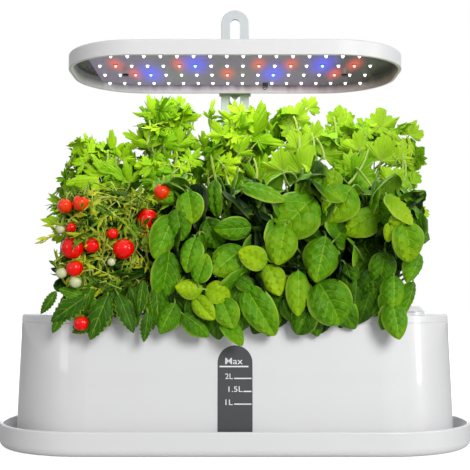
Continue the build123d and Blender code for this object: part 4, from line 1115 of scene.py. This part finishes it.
def mainStems(random, columns, rowY, stems, radius, tone):
    # Upright stems from each sponge that lean apart as they rise.
    columns = np.repeat(columns, stems["perPod"])
    count = len(columns)
    spread = stems["spread"]
    start = np.stack([columns, np.full(count, rowY), np.full(count, pods["spongeTop"] - 0.002)], 1)
    start[:, :2] += random.uniform(-0.004, 0.004, (count, 2))
    end = start + np.stack([*random.uniform(-spread, spread, (2, count)), stems["top"] - start[:, 2]], 1)
    bow = random.uniform(-spread, spread, (2, count)) * 0.4
    middle = (start + end) / 2 + np.stack([*bow, np.zeros(count)], 1)
    return tubeShells(bentPaths(start, middle, end, 9), radius, (1.0, 0.5), 6, tone)


# Basil
basil = {
    "hangAt": -0.084,  # y of leaves that hang in front of the tank
    "hangBelow": 283.0,  # row below which they do
    "lift": 0.009,
    "layerStep": 0.008,
    "veins": {"Veins": 5.0, "Slant": 0.45, "Vein Width": 0.11, "Rib Width": 0.07},
    "veinAmount": 0.55,
    "colors": ((0.0005, 0.010, 0.0001), (0.092, 0.30, 0.002), (0.40, 0.60, 0.004), (0.40, 0.62, 0.06)),
    "stemColors": ((0.05, 0.15, 0.01), (0.20, 0.38, 0.05), (0.42, 0.55, 0.12)),
    "stemRadius": 0.0016,
    "petioleRadius": 0.0009,
    "stems": {"top": 0.205, "spread": 0.022, "perPod": 4},
    "fillers": {
        "count": 250,
        "length": (0.024, 0.042),
        "slimness": (0.6, 0.8),
        "curl": (0.3, 0.9),
        "tone": (0.30, 0.62),
        # frontShade is painted shade where the crown's skin faces the front
        "frontShade": 0.32,  # how much darker they are where the skin faces the front
        "frontInset": 0.024,  # and how much deeper
        "middle": 0.040,  # x about which their tips keep within a reach, above and below a height
        "height": 0.17,
        "reachHigh": 0.118,
        "reachLow": 0.108,
        "shape": {"rows": 9, "across": 7, "fold": 0.2, "quilt": 0.10, "baseShade": 0.25},
    },
    # painted shade: inner leaves take a low tone deep in the crown; edgeLight is painted light past x = edge
    "inner": {"count": 260, "inset": 0.014, "frontInset": 0.008, "upward": -0.3, "length": (0.026, 0.042),
              "slimness": 0.75, "tone": (-0.10, 0.04), "edge": 0.125, "edgeLight": 0.3},
    "skirt": {"count": 70, "span": (-0.062, 0.130)},
    "skirtShape": {"rows": 9, "across": 7, "cup": 0.28, "quilt": 0.08},
    "shape": {"rows": 34, "across": 13, "slant": 0.45, "bulge": 0.30, "quilt": 0.20, "baseShade": 0.30},
    "curl": (0.4, 1.2),
    "chances": {"cup": (0.0, 0.35), "fold": (-0.15, 0.55)},
    # column, row, length, width (mm), direction of the tip (degrees), lean to the front, roll, layer, tone,
    # which holds painted light and shade as well as the leaf's own green
    "leaves": [
        (166, 236, 38, 23, -108, 20, 25, 0.6, 0.50), (167, 277, 40, 25, -95, 10, 20, 0.6, 0.45),
        (189, 253, 29, 20, -112, 25, -15, 0.2, 0.52), (202, 268, 24, 17, 75, 10, 10, 0.2, 0.55),
        (190, 287, 22, 17, 172, 20, 0, 0.0, 0.86), (219, 292, 22, 19, -14, 20, 0, 0.0, 0.88),
        (204, 308, 24, 16, -50, 20, -15, 0.1, 0.80), (228, 313, 26, 21, -66, 15, 0, 0.1, 0.56),
        (234, 330, 26, 15, -30, 30, 20, 0.4, 0.52), (167, 318, 28, 21, -120, 20, 0, 0.2, 0.42),
        (198, 323, 28, 18, -30, 10, 20, 0.7, 0.34), (261, 312, 46, 26, -60, 15, -10, 0.1, 0.52),
        (275, 279, 27, 21, -66, 25, 0, 0.0, 0.84), (254, 257, 24, 20, 150, 20, 0, 0.0, 0.86),
        (229, 259, 32, 30, -145, 25, -5, 0.1, 0.52), (234, 229, 31, 19, 188, 25, 25, 0.3, 0.44),
        (212, 199, 32, 15, -100, 10, -30, 0.7, 0.44), (191, 206, 26, 22, -80, 25, 0, 0.7, 0.60),
        (167, 198, 22, 14, 190, 15, 25, 1.2, 0.58), (234, 178, 17, 13, -20, 20, 0, 1.4, 1.05),
        (226, 195, 15, 12, -30, 20, 0, 0.9, 0.72), (265, 188, 38, 20, -8, 15, 35, 0.8, 0.52),
        (296, 214, 46, 40, -138, 25, 0, -0.8, 0.58), (283, 244, 32, 26, -98, 25, 10, 0.1, 0.66),
        (341, 202, 35, 31, -128, 25, 0, 1.6, 0.64), (364, 218, 38, 26, 200, 25, -10, -0.9, 0.66),
        (367, 253, 30, 30, -120, 25, 0, 0.2, 0.33), (383, 270, 30, 22, -100, 10, 0, 0.7, 0.34),
        (411, 241, 33, 27, -76, 20, 10, -0.9, 0.66), (416, 269, 25, 18, -110, 10, 30, 0.8, 0.50),
        (411, 303, 34, 16, -100, 5, 30, 0.8, 0.40), (395, 292, 28, 21, -92, 20, 0, 0.3, 0.50),
        (397, 320, 30, 21, -80, 20, 0, 0.2, 0.50), (333, 303, 40, 37, -58, 20, 0, 0.0, 0.44),
        (322, 258, 38, 30, -104, 20, 0, 0.1, 0.50), (300, 293, 36, 20, -88, 15, 10, 0.1, 0.66),
        (303, 322, 26, 22, -120, 5, 0, 0.9, 0.24), (403, 206, 32, 22, -38, 20, 45, -0.4, 0.78),
        (390, 232, 16, 9, -95, 20, 0, -0.6, 0.86), (400, 218, 17, 12, 18, 20, 0, -0.8, 0.86),
        (368, 183, 34, 26, -45, 15, 0, 1.2, 0.62), (309, 184, 26, 22, -150, 20, 0, 1.8, 0.55),
        (333, 181, 20, 17, -100, 15, 0, 1.3, 0.74), (246, 283, 18, 13, -30, 10, 0, 0.6, 0.36),
        (283, 300, 30, 24, -80, 0, 0, 1.3, 0.20), (352, 280, 28, 20, -70, 0, 0, 1.3, 0.22),
        (215, 235, 28, 22, -60, 0, 0, 1.2, 0.30), (180, 225, 26, 20, -80, 0, 0, 1.1, 0.40),
        (374, 284, 30, 24, -80, 0, 0, 1.5, 0.16), (397, 264, 26, 20, -90, 0, 0, 1.5, 0.14),
        (389, 278, 26, 20, -95, 0, 0, 1.6, 0.12), (365, 292, 26, 20, -90, 0, 0, 1.6, 0.14),
    ],
}


def basilFillers(random, plan):
    # Leaves all over the crowns' skin that point down along it and outwards, less so at the front.
    spots, normals = skinSpots(random, "basil_plants", plan["count"], 0.0)
    facing = np.clip(-normals[:, 1], 0, 1)
    spots = spots - normals * (plan["frontInset"] * facing)[:, None]
    along = tangents(random, normals, (0.25 - 0.2 * facing)[:, None], -0.45)
    axes = leafAxes(along, normals + np.array([0, 0, 0.4]), random.uniform(-20, 20, len(spots)))
    length = random.uniform(*plan["length"], len(spots))
    tone = random.uniform(*plan["tone"], len(spots)) - plan["frontShade"] * facing
    base = spots - axes[0] * length[:, None] * 0.55
    tips = base + axes[0] * length[:, None]
    reach = np.where(tips[:, 2] > plan["height"], plan["reachHigh"], plan["reachLow"])
    kept = np.abs(tips[:, 0] - plan["middle"]) < reach
    base, length, tone, axes = base[kept], length[kept], tone[kept], [axis[kept] for axis in axes]
    width = length * random.uniform(*plan["slimness"], len(base))
    curl = random.uniform(*plan["curl"], len(base))
    shells = bladeShells(base, axes, length, width, curl, tone, 13, **plan["shape"])
    return shells, base, axes[0], length, tone


def makeBasil():
    random = np.random.default_rng(11)
    columns = np.array(pods["columns"][1:])
    row, thin = pods["frontRow"], basil["petioleRadius"]
    big, base, along, length, tone = placedBlades(random, basil, 12)
    stalks = [petioles(base, along, length, columns, row, thin, np.clip(tone, 0.4, 0.8))]
    fillers, base, along, length, tone = basilFillers(random, basil["fillers"])
    stalks.append(petioles(base, along, length, columns, row, thin, tone + 0.2))
    inner = innerBlades(random, "basil_plants", basil["inner"], 14)
    base, axes, length, tone = skirtLeaves(random, **basil["skirt"])
    skirt = bladeShells(base, axes, length, length * 0.68, 0.6, tone, 15, **basil["skirtShape"])
    stalks.append(mainStems(random, columns, row, basil["stems"], basil["stemRadius"], 0.5))
    stemPaint = stemMaterial("basilStem", basil["stemColors"])
    veins, colors, amount = basil["veins"], basil["colors"], basil["veinAmount"]
    paint = leafMaterial("basilLeaf", bladeVeinGroup, veins, colors, amount)
    addPiece("basilLeaves", [big, fillers, inner, skirt], paint, ["basil_plants"])
    addPiece("basilStems", stalks, stemPaint)


# Sprays: leaflets in pairs along a bent rachis
def sprayLeaflets(base, along, toward, length, pairs, opening, droop):
    # Each spray has pairs of leaflets and one at the tip; t is how far along the rachis each sits.
    along, up, side = [a[:, None] for a in leafAxes(along, toward)]
    t = np.concatenate([np.repeat(np.linspace(0.4, 0.85, pairs), 2), [1.0]])[None, :, None]
    sign = np.concatenate([np.tile([1.0, -1.0], pairs), [0.0]])[None, :, None]
    turn = np.radians(opening) * sign
    reach = perLeaf(length, len(base))
    spots = base[:, None] + along * t * reach - up * droop * t ** 2 * reach
    ways = along * np.cos(turn) + side * np.sin(turn) - up * droop * 0.8
    ups = np.broadcast_to(up, ways.shape)
    s = np.linspace(0, 1, 5)[None, :, None]
    rachis = base[:, None] + along * s * reach - up * droop * s ** 2 * reach
    share = np.broadcast_to(np.where(sign[..., 0] == 0, 1.15, 0.75 + 0.3 * t[..., 0]), spots.shape[:2])
    return spots.reshape(-1, 3), ways.reshape(-1, 3), ups.reshape(-1, 3), share.ravel(), rachis


def crownSprays(random, name, count, inset, outward, upward, spread):
    # Spray ends on a plant's skin with directions that lead outwards and upwards.
    spots, normals = skinSpots(random, name, count, 0.0)
    spots = spots - normals * random.uniform(*inset, (len(spots), 1))
    along = tangents(random, normals, outward, upward) + random.normal(0, spread, normals.shape)
    return spots, normalized(along), normals


def rachisTubes(rachis, tone):
    return tubeShells(rachis, 0.0006, (1.0, 0.6), 4, tone)


# Tomato
tomato = {
    "hangAt": -0.084,
    "hangBelow": 283.0,
    "lift": 0.004,
    "layerStep": 0.008,
    "veins": {"Veins": 4.0, "Slant": 0.4, "Vein Width": 0.10, "Rib Width": 0.09},
    "veinAmount": 0.75,
    "colors": ((0.002, 0.026, 0.0005), (0.07, 0.24, 0.003), (0.62, 0.66, 0.02), (0.44, 0.62, 0.07)),
    "stemColors": ((0.03, 0.10, 0.01), (0.24, 0.40, 0.04), (0.55, 0.62, 0.12)),
    "stemRadius": 0.0018,
    "stems": {"top": 0.205, "spread": 0.030, "perPod": 6},
    "sprays": 320,
    "inset": (0.0, 0.012),  # how deep in the crown the sprays end
    "pairs": 3,  # of leaflets on a spray
    "sprayLength": (0.016, 0.030),
    "sprayTone": (0.15, 1.25),
    "leafletLength": 0.0090,
    "leafletWidth": 0.0026,
    "leftEdge": -0.149,  # sprays that would start beyond this x are left out
    "stalkEdge": -0.141,  # least x where a spray starts
    # painted shade: inner leaves take a low tone deep in the crown
    "inner": {"count": 160, "inset": 0.013, "frontInset": 0.0, "upward": 0.0, "length": (0.018, 0.030),
              "slimness": 0.5, "tone": (0.0, 0.12), "edge": 0.0, "edgeLight": 0.0},
    "skirt": {"count": 16, "span": (-0.126, -0.064)},
    "turning": [(65, 205), (81, 203), (163, 180)],  # columns and rows of the oranger fruit
    # column, row and radius (mm) of the unripe fruit
    "unripe": [(62, 273, 4.4), (76, 282, 4.8), (61, 229, 3.6), (112, 262, 3.2)],
    "ripeColor": (0.93, 0.002, 0.0005),
    "turningColor": (0.94, 0.070, 0.001),
    "unripeColor": (0.62, 0.66, 0.36),
    "shoulderColor": (0.80, 0.10, 0.01),
    "dimple": 0.16,
    "ribs": 0.012,
    "flatness": 0.96,
    "shape": {"rows": 22, "across": 11, "teeth": 0.22, "veins": 6.0, "wave": 0.12, "quilt": 0.07,
              "bluntness": 0.6},
    "leafletShape": {"rows": 4, "across": 5, "widest": 0.38, "bluntness": 0.8},
    "skirtShape": {"rows": 12, "across": 7, "teeth": 0.2, "wave": 0.1},
    "curl": (0.2, 0.8),
    "chances": {},
    # column, row, length, width (mm), direction of the tip, lean to the front, roll, layer, tone
    "leaves": [
        (49, 303, 22, 9, -120, 15, 20, 0.2, 0.20), (68, 309, 34, 19, 215, 15, 10, 0.1, 0.20),
        (99, 317, 38, 21, -112, 10, 0, 0.1, 0.20), (127, 313, 33, 16, -65, 10, 15, 0.1, 0.20),
        (71, 292, 20, 11, 160, 20, 0, 0.3, 0.44), (158, 300, 21, 13, -80, 15, 20, 0.2, 0.24),
        (147, 327, 24, 11, -95, 10, 20, 0.2, 0.22), (85, 327, 22, 11, 200, 10, 0, 0.6, 0.20),
        (113, 303, 26, 13, -60, 10, 0, 0.7, 0.22), (58, 322, 20, 10, 240, 10, 0, 0.5, 0.26),
    ],
}


def fruitCentres():
    # Middle and radius of every fruit: points joined by edges share a label, and each label is a shell.
    points = meshArrays("tomato_fruit")[0]
    mesh = cadNodes["tomato_fruit"].data
    edges = np.empty(len(mesh.edges) * 2, int)
    mesh.edges.foreach_get("vertices", edges)
    edges = edges.reshape(-1, 2)
    label = np.arange(len(points))
    while True:
        low = np.minimum(label[edges[:, 0]], label[edges[:, 1]])
        before = label.copy()
        np.minimum.at(label, edges[:, 0], low)
        np.minimum.at(label, edges[:, 1], low)
        if np.array_equal(before, label):
            break
    found = []
    for name in np.unique(label):
        own = points[label == name]
        low, high = own.min(0), own.max(0)
        spot = np.array([*(low + high) / 2, (high - low).max() / 2])
        if not any(np.linalg.norm(spot[:3] - other[:3]) < 0.003 for other in found):
            found.append(spot)
    return np.array(found)


def fruitMaterial():
    # Waxy skin, a little oranger round the stalk and with a soft gloss.
    shaderValues = {"Coat Weight": 0.5, "Coat Roughness": 0.05, "Specular IOR Level": 0.04}
    material, tree, shader = newMaterial("tomatoSkin", **shaderValues)
    down = leafPlace(tree)["X"]
    tone = pointValue(tree, "tone")
    color = calc(tree, "MINIMUM", tone, 1.0)
    color = blendColors(tree, color, tomato["ripeColor"], tomato["turningColor"])
    color = blendColors(tree, ramp(tree, down, (0.05, 0.45), (0.55, 0.0)), color, tomato["shoulderColor"])
    color = blendColors(tree, calc(tree, "GREATER_THAN", tone, 1.5), color, tomato["unripeColor"])
    surface = skin(tree, color, 0.22, patch=(200.0, 0.25), grain=(900.0, 0.03))
    wear(tree, shader, surface, ("Color", "Roughness"))
    return material


def fruitShells(centre, radius, axis, side, front, tone, rows=15, ring=24):
    # Balls on a grid of slope from the stalk and turn round it, with a dimple at the stalk and faint ribs.
    slope = np.pi * np.arange(1, rows + 1) / (rows + 1)
    turn = -2 * np.pi * np.arange(ring) / ring
    dimple = 1 - tomato["dimple"] * np.exp(-(slope / 0.42) ** 2)
    rib = 1 + tomato["ribs"] * np.cos(5 * turn)[None] * np.sin(slope)[:, None]
    out = np.sin(slope)[:, None] * rib
    level = np.cos(slope) * dimple * tomato["flatness"]
    rings = (centre[:, None, None] + radius[:, None, None, None] * (
        side[:, None, None] * (out * np.cos(turn))[None, ..., None]
        + front[:, None, None] * (out * np.sin(turn))[None, ..., None]
        + axis[:, None, None] * level[None, :, None, None]))
    place = np.zeros(rings.shape)
    place[..., 0] = (slope / np.pi)[None, :, None]
    top = centre + axis * (radius * (1 - tomato["dimple"]) * tomato["flatness"])[:, None]
    bottom = centre - axis * (radius * tomato["flatness"])[:, None]
    return (*closedShells(rings, top, bottom), shellValues(place, tone)), top


def makeFruit():
    # Round fruit with a five-pointed calyx and a short bent stalk.
    spots = fruitCentres()
    column, row, size = np.array(tomato["unripe"], float).T
    green, ways = skinSeenAt(column, row, tomato)
    green = np.concatenate([green - ways * tomato["lift"], size[:, None] * mm], 1)
    ripe = len(spots)
    spots = np.concatenate([spots, green])
    centre, radius = spots[:, :3], spots[:, 3]
    count = len(spots)
    random = np.random.default_rng(21)
    lean = [random.normal(0, 0.25, count), random.normal(0.1, 0.2, count)]
    axis = normalized(np.stack([*lean, np.ones(count)], 1))
    side = normalized(np.cross(axis, np.array([0.2, 1.0, 0.1])))
    front = np.cross(axis, side)
    tone = np.zeros(count)
    for column, row in tomato["turning"]:
        target = seenAt(column, row, centre[:, 1])
        tone[np.argmin(np.linalg.norm(target - centre, axis=1))] = 0.6
    tone[ripe:] = 2.0
    skins, top = fruitShells(centre, radius, axis, side, front, tone)
    turn = (2 * np.pi * np.arange(5) / 5 + 0.3)[None, :, None]
    star = (side[:, None] * np.cos(turn) + front[:, None] * np.sin(turn)).reshape(-1, 3)
    stalkWays = np.repeat(axis, 5, 0)
    base = np.repeat(top, 5, 0) + stalkWays * 0.0006
    reach = np.repeat(radius, 5) * 0.95
    axes = leafAxes(star + stalkWays * 0.25, stalkWays)
    calyx = bladeShells(base, axes, reach, reach * 0.26, 0.7, 0.55, 22, rows=5, across=5, thickness=0.0005)
    middle = top + axis * (radius * 0.7)[:, None]
    bent = [random.normal(0, 0.003, count), np.full(count, 0.008), np.full(count, 0.004)]
    end = middle + np.stack(bent, 1)
    stalk = tubeShells(bentPaths(top - axis * 0.0004, middle, end, 7), 0.0008, (1.0, 1.0), 6, 0.6)
    addPiece("tomatoes", [skins], fruitMaterial(), ["tomato_fruit"])
    return calyx, stalk


def tomatoSprays(random, column):
    # Sprays of small leaflets over the crown's skin, none of them past the crown's left edge.
    count, inset = tomato["sprays"], tomato["inset"]
    spots, along, normals = crownSprays(random, "tomato_plant", count, inset, 0.45, 0.1, 0.25)
    kept = (spots[:, 0] + along[:, 0] * np.array([[-0.016], [0.010]]) > tomato["leftEdge"]).all(0)
    spots, along, normals = spots[kept], along[kept], normals[kept]
    length = random.uniform(*tomato["sprayLength"], len(spots))
    start = spots - along * length[:, None] * 0.6
    start[:, 0] = np.maximum(start[:, 0], tomato["stalkEdge"])
    pairs, toward = tomato["pairs"], normals + np.array([0, 0, 0.4])
    places, ways, ups, size, rachis = sprayLeaflets(start, along, toward, length, pairs, 55, 0.3)
    perSpray = 2 * pairs + 1
    tone = np.repeat(random.uniform(*tomato["sprayTone"], len(spots)), perSpray)
    tone = tone + random.normal(0, 0.12, len(places))
    axes = leafAxes(ways + random.normal(0, 0.2, ways.shape), ups + random.normal(0, 0.4, ups.shape))
    size = size * random.uniform(0.7, 1.3, len(size)) * tomato["leafletLength"]
    width = size * tomato["leafletWidth"] / tomato["leafletLength"]
    curl = random.uniform(0.2, 1.2, len(size))
    leaflets = bladeShells(places, axes, size, width, curl, tone, 25, **tomato["leafletShape"])
    first = tone[::perSpray]
    stalks = petioles(start, along, length, column, pods["frontRow"], 0.0008, np.clip(first + 0.2, 0.3, 1.0))
    return leaflets, [rachisTubes(rachis, np.clip(first + 0.3, 0.4, 1.0)), stalks]


def makeTomato():
    random = np.random.default_rng(23)
    column, row = [pods["columns"][0]], pods["frontRow"]
    calyx, stalk = makeFruit()
    big, base, along, length, tone = placedBlades(random, tomato, 24)
    stems = [stalk, petioles(base, along, length, column, row, 0.0009, tone + 0.3)]
    small, sprayStems = tomatoSprays(random, column)
    inner = innerBlades(random, "tomato_plant", tomato["inner"], 26)
    base, axes, length, tone = skirtLeaves(random, **tomato["skirt"])
    skirt = bladeShells(base, axes, length, length * 0.4, 0.5, tone, 27, **tomato["skirtShape"])
    upright = mainStems(random, column, row, tomato["stems"], tomato["stemRadius"], 0.6)
    stemPaint = stemMaterial("tomatoStem", tomato["stemColors"])
    veins, colors, amount = tomato["veins"], tomato["colors"], tomato["veinAmount"]
    paint = leafMaterial("tomatoLeaf", bladeVeinGroup, veins, colors, amount)
    addPiece("tomatoLeaves", [big, small, inner, skirt, calyx], paint, ["tomato_plant"])
    addPiece("tomatoStems", [*stems, *sprayStems, upright], stemPaint)


# Celery and coriander
umbel = {
    "hangAt": 0.020,
    "hangBelow": 470.0,
    "lift": 0.004,
    "layerStep": 0.008,
    "veins": {"Veins": 9.0, "Vein Width": 0.14},
    "veinAmount": 0.35,
    "pairs": 2,  # of leaflets on a spray
    "sprayTone": (0.52, 1.05),
    # painted shade: inner sprays darker deep in the crown
    "innerShadeTone": (0.12, 0.45),
    "stems": {"top": 0.25, "spread": 0.024, "perPod": 6},
    "stalkRadius": 0.0010,
    "stalkTone": 0.85,
}

celery = {
    **umbel,
    "node": "celery_plants",
    "columns": pods["columns"][:3],
    "seed": 31,
    "sprays": 190,
    "innerSprays": 90,
    "inset": (0.0, 0.008),
    "sprayLength": (0.016, 0.026),
    "leafletSize": (0.010, 0.016),
    "stemRadius": 0.0022,
    "shape": {"spread": 95.0, "lobeDepth": 0.64, "fingerDepth": 0.24, "stretch": 0.35},
    "colors": ((0.004, 0.045, 0.0005), (0.17, 0.44, 0.002), (0.40, 0.66, 0.006), (0.52, 0.72, 0.06)),
    "stemColors": ((0.08, 0.18, 0.02), (0.30, 0.46, 0.06), (0.50, 0.62, 0.14)),
    # column and row of the upper end and of the lower end
    "stalks": [(254, 158, 257, 180), (239, 168, 240, 205), (266, 160, 267, 178), (150, 120, 147, 145),
               (108, 150, 104, 172)],
    # column, row, size (mm), direction of the tip, lean to the front, layer, tone, which holds painted light
    # and shade as well as the leaf's own green
    "leaves": [
        (82, 150, 20, 140, 25, 0.0, 0.80), (78, 163, 12, 170, 25, 0.0, 0.75),
        (84, 180, 28, 185, 25, 0.0, 0.80), (112, 142, 22, 92, 25, 0.0, 0.82),
        (125, 152, 15, 60, 25, 0.0, 0.80), (153, 107, 20, 110, 25, 0.0, 0.86),
        (165, 112, 22, 95, 25, 0.0, 0.86), (188, 113, 16, 88, 25, 0.0, 0.80),
        (133, 136, 18, 150, 25, 0.0, 0.84), (150, 135, 22, 100, 25, 0.0, 0.80),
        (53, 220, 22, 175, 25, 0.0, 0.88), (235, 111, 20, 85, 25, 0.0, 1.00),
        (219, 128, 16, 120, 25, 0.0, 0.85), (257, 125, 34, 60, 35, 0.0, 0.68),
        (180, 135, 20, 80, 25, 0.3, 0.70), (205, 140, 20, 100, 25, 0.3, 0.74),
        (244, 145, 18, 60, 25, 0.2, 0.70), (274, 130, 18, 70, 25, 0.2, 0.78),
        (100, 165, 20, 120, 25, 0.2, 0.74), (128, 172, 20, 100, 25, 0.2, 0.70),
        (268, 148, 30, 50, 30, 0.2, 0.66), (262, 168, 26, 70, 30, 0.4, 0.60),
        (131, 160, 26, 100, 30, 0.8, 0.58), (134, 184, 24, 60, 30, 0.8, 0.48),
        (198, 172, 24, 100, 30, 0.8, 0.42), (118, 172, 24, 140, 30, 0.6, 0.62),
    ],
}

coriander = {
    **umbel,
    "node": "coriander_plants",
    "columns": pods["columns"][3:],
    "seed": 41,
    "sprays": 82,
    "innerSprays": 12,
    "inset": (0.0, 0.010),
    "sprayLength": (0.014, 0.024),
    "leafletSize": (0.008, 0.013),
    "stemRadius": 0.0012,
    "shape": {"spread": 115.0, "lobeDepth": 0.25, "fingerDepth": 0.14, "stretch": 0.10},
    "colors": ((0.004, 0.045, 0.0005), (0.19, 0.46, 0.004), (0.44, 0.70, 0.020), (0.58, 0.76, 0.12)),
    "stemColors": ((0.08, 0.18, 0.02), (0.28, 0.46, 0.06), (0.48, 0.62, 0.14)),
    "stalks": [(294, 116, 299, 156), (312, 133, 314, 151), (369, 149, 348, 185), (334, 116, 334, 152),
               (317, 138, 325, 160), (402, 145, 398, 190), (405, 160, 404, 182)],
    "leaves": [
        (300, 112, 16, 60, 25, 0.0, 0.80), (312, 103, 12, 55, 25, 0.0, 0.84),
        (341, 113, 15, 90, 25, 0.0, 0.82), (345, 128, 15, 80, 25, 0.0, 0.80),
        (361, 141, 18, 85, 25, 0.0, 0.80), (380, 118, 19, 100, 25, 0.0, 0.80),
        (384, 149, 22, 80, 30, 0.0, 0.72), (413, 128, 14, 70, 25, 0.0, 0.86),
        (402, 152, 15, 60, 25, 0.0, 0.80), (396, 176, 17, 40, 25, 0.0, 0.76),
        (425, 213, 10, 0, 25, 0.0, 0.90), (330, 138, 16, 110, 25, 0.1, 0.74),
        (316, 130, 15, 70, 25, 0.1, 0.76), (352, 160, 16, 100, 25, 0.2, 0.70),
        (307, 160, 26, 75, 30, 0.0, 0.74), (282, 160, 22, 100, 30, 0.0, 0.78),
        (329, 146, 20, 60, 30, 0.1, 0.66), (360, 166, 24, 70, 30, 0.3, 0.46),
        (346, 126, 20, 80, 30, 0.1, 0.76), (296, 140, 18, 110, 30, 0.1, 0.78),
    ],
}


def placedStalks(plan):
    # Stalks in front of a crown, from the skin seen at one column and row straight down to another.
    column, row, endColumn, endRow = np.array(plan["stalks"], float).T
    start, ways = skinSeenAt(column, row, plan)
    start = start - ways * plan["lift"]
    end = seenAt(endColumn, endRow, start[:, 1])
    middle = (start + end) / 2 + np.cross(end - start, ways) * 0.15
    paths = bentPaths(start, middle, end, 9)
    return tubeShells(paths, plan["stalkRadius"], (0.8, 1.2), 6, plan["stalkTone"])


def makeUmbel(name, plan):
    # Stalks that end in sprays of lobed leaflets, with larger leaves where the plan places them.
    random = np.random.default_rng(plan["seed"])
    node, columns, rowY = plan["node"], plan["columns"], pods["backRow"]
    column, row, size, tip, lean, layer, tone = np.array(plan["leaves"], float).T
    size = size * mm
    base, axes = placedAxes(plan, column, row, size, tip, lean, 0.0, layer)
    parts = [fanShells(base, axes, size, tone, plan["seed"] + 1, **dict(plan["shape"], across=5))]
    stems = [petioles(base, axes[0], size, columns, rowY, 0.0009, tone)]
    outer = crownSprays(random, node, plan["sprays"], plan["inset"], 0.35, 0.55, 0.2)
    inner = crownSprays(random, node, plan["innerSprays"], (0.012, 0.020), 0.2, 0.3, 0.3)
    tone = np.concatenate([random.uniform(*plan["sprayTone"], len(outer[0])),
                           random.uniform(*plan["innerShadeTone"], len(inner[0]))])
    spots, along, normals = [np.concatenate(pair) for pair in zip(outer, inner)]
    length = random.uniform(*plan["sprayLength"], len(spots))
    start = spots - along * length[:, None] * 0.6
    toward = normals + np.array([0, 0, 0.5])
    places, ways, ups, grow, rachis = sprayLeaflets(start, along, toward, length, plan["pairs"], 60, 0.2)
    perSpray = 2 * plan["pairs"] + 1
    spread = np.repeat(tone, perSpray) + random.normal(0, 0.08, len(places))
    axes = leafAxes(ways + random.normal(0, 0.15, ways.shape), ups + random.normal(0, 0.35, ups.shape))
    size = grow * random.uniform(*plan["leafletSize"], len(grow))
    near = np.arange(len(places)) < perSpray * plan["sprays"]
    for chosen, fingers in ((near, 2), (~near, 1)):
        own, shape = [axis[chosen] for axis in axes], dict(plan["shape"], fingers=fingers)
        parts.append(fanShells(places[chosen], own, size[chosen], spread[chosen], plan["seed"] + 2, **shape))
    stems += [placedStalks(plan), rachisTubes(rachis, tone)]
    stems.append(petioles(start, along, length, columns, rowY, 0.0008, tone))
    stems.append(mainStems(random, columns, rowY, plan["stems"], plan["stemRadius"], 0.6))
    stemPaint = stemMaterial(name + "Stem", plan["stemColors"])
    paint = leafMaterial(name + "Leaf", fanVeinGroup, plan["veins"], plan["colors"], plan["veinAmount"])
    addPiece(name + "Leaves", parts, paint, [node])
    addPiece(name + "Stems", stems, stemPaint)


makeCamera()
makeLights()
makeFloor()
makeRoom()
print("camera and", len(studio["lamps"]), "lights set")
dressSolids()
makeLenses()
makeGauge()
makeBasil()
makeTomato()
makeUmbel("celery", celery)
makeUmbel("coriander", coriander)
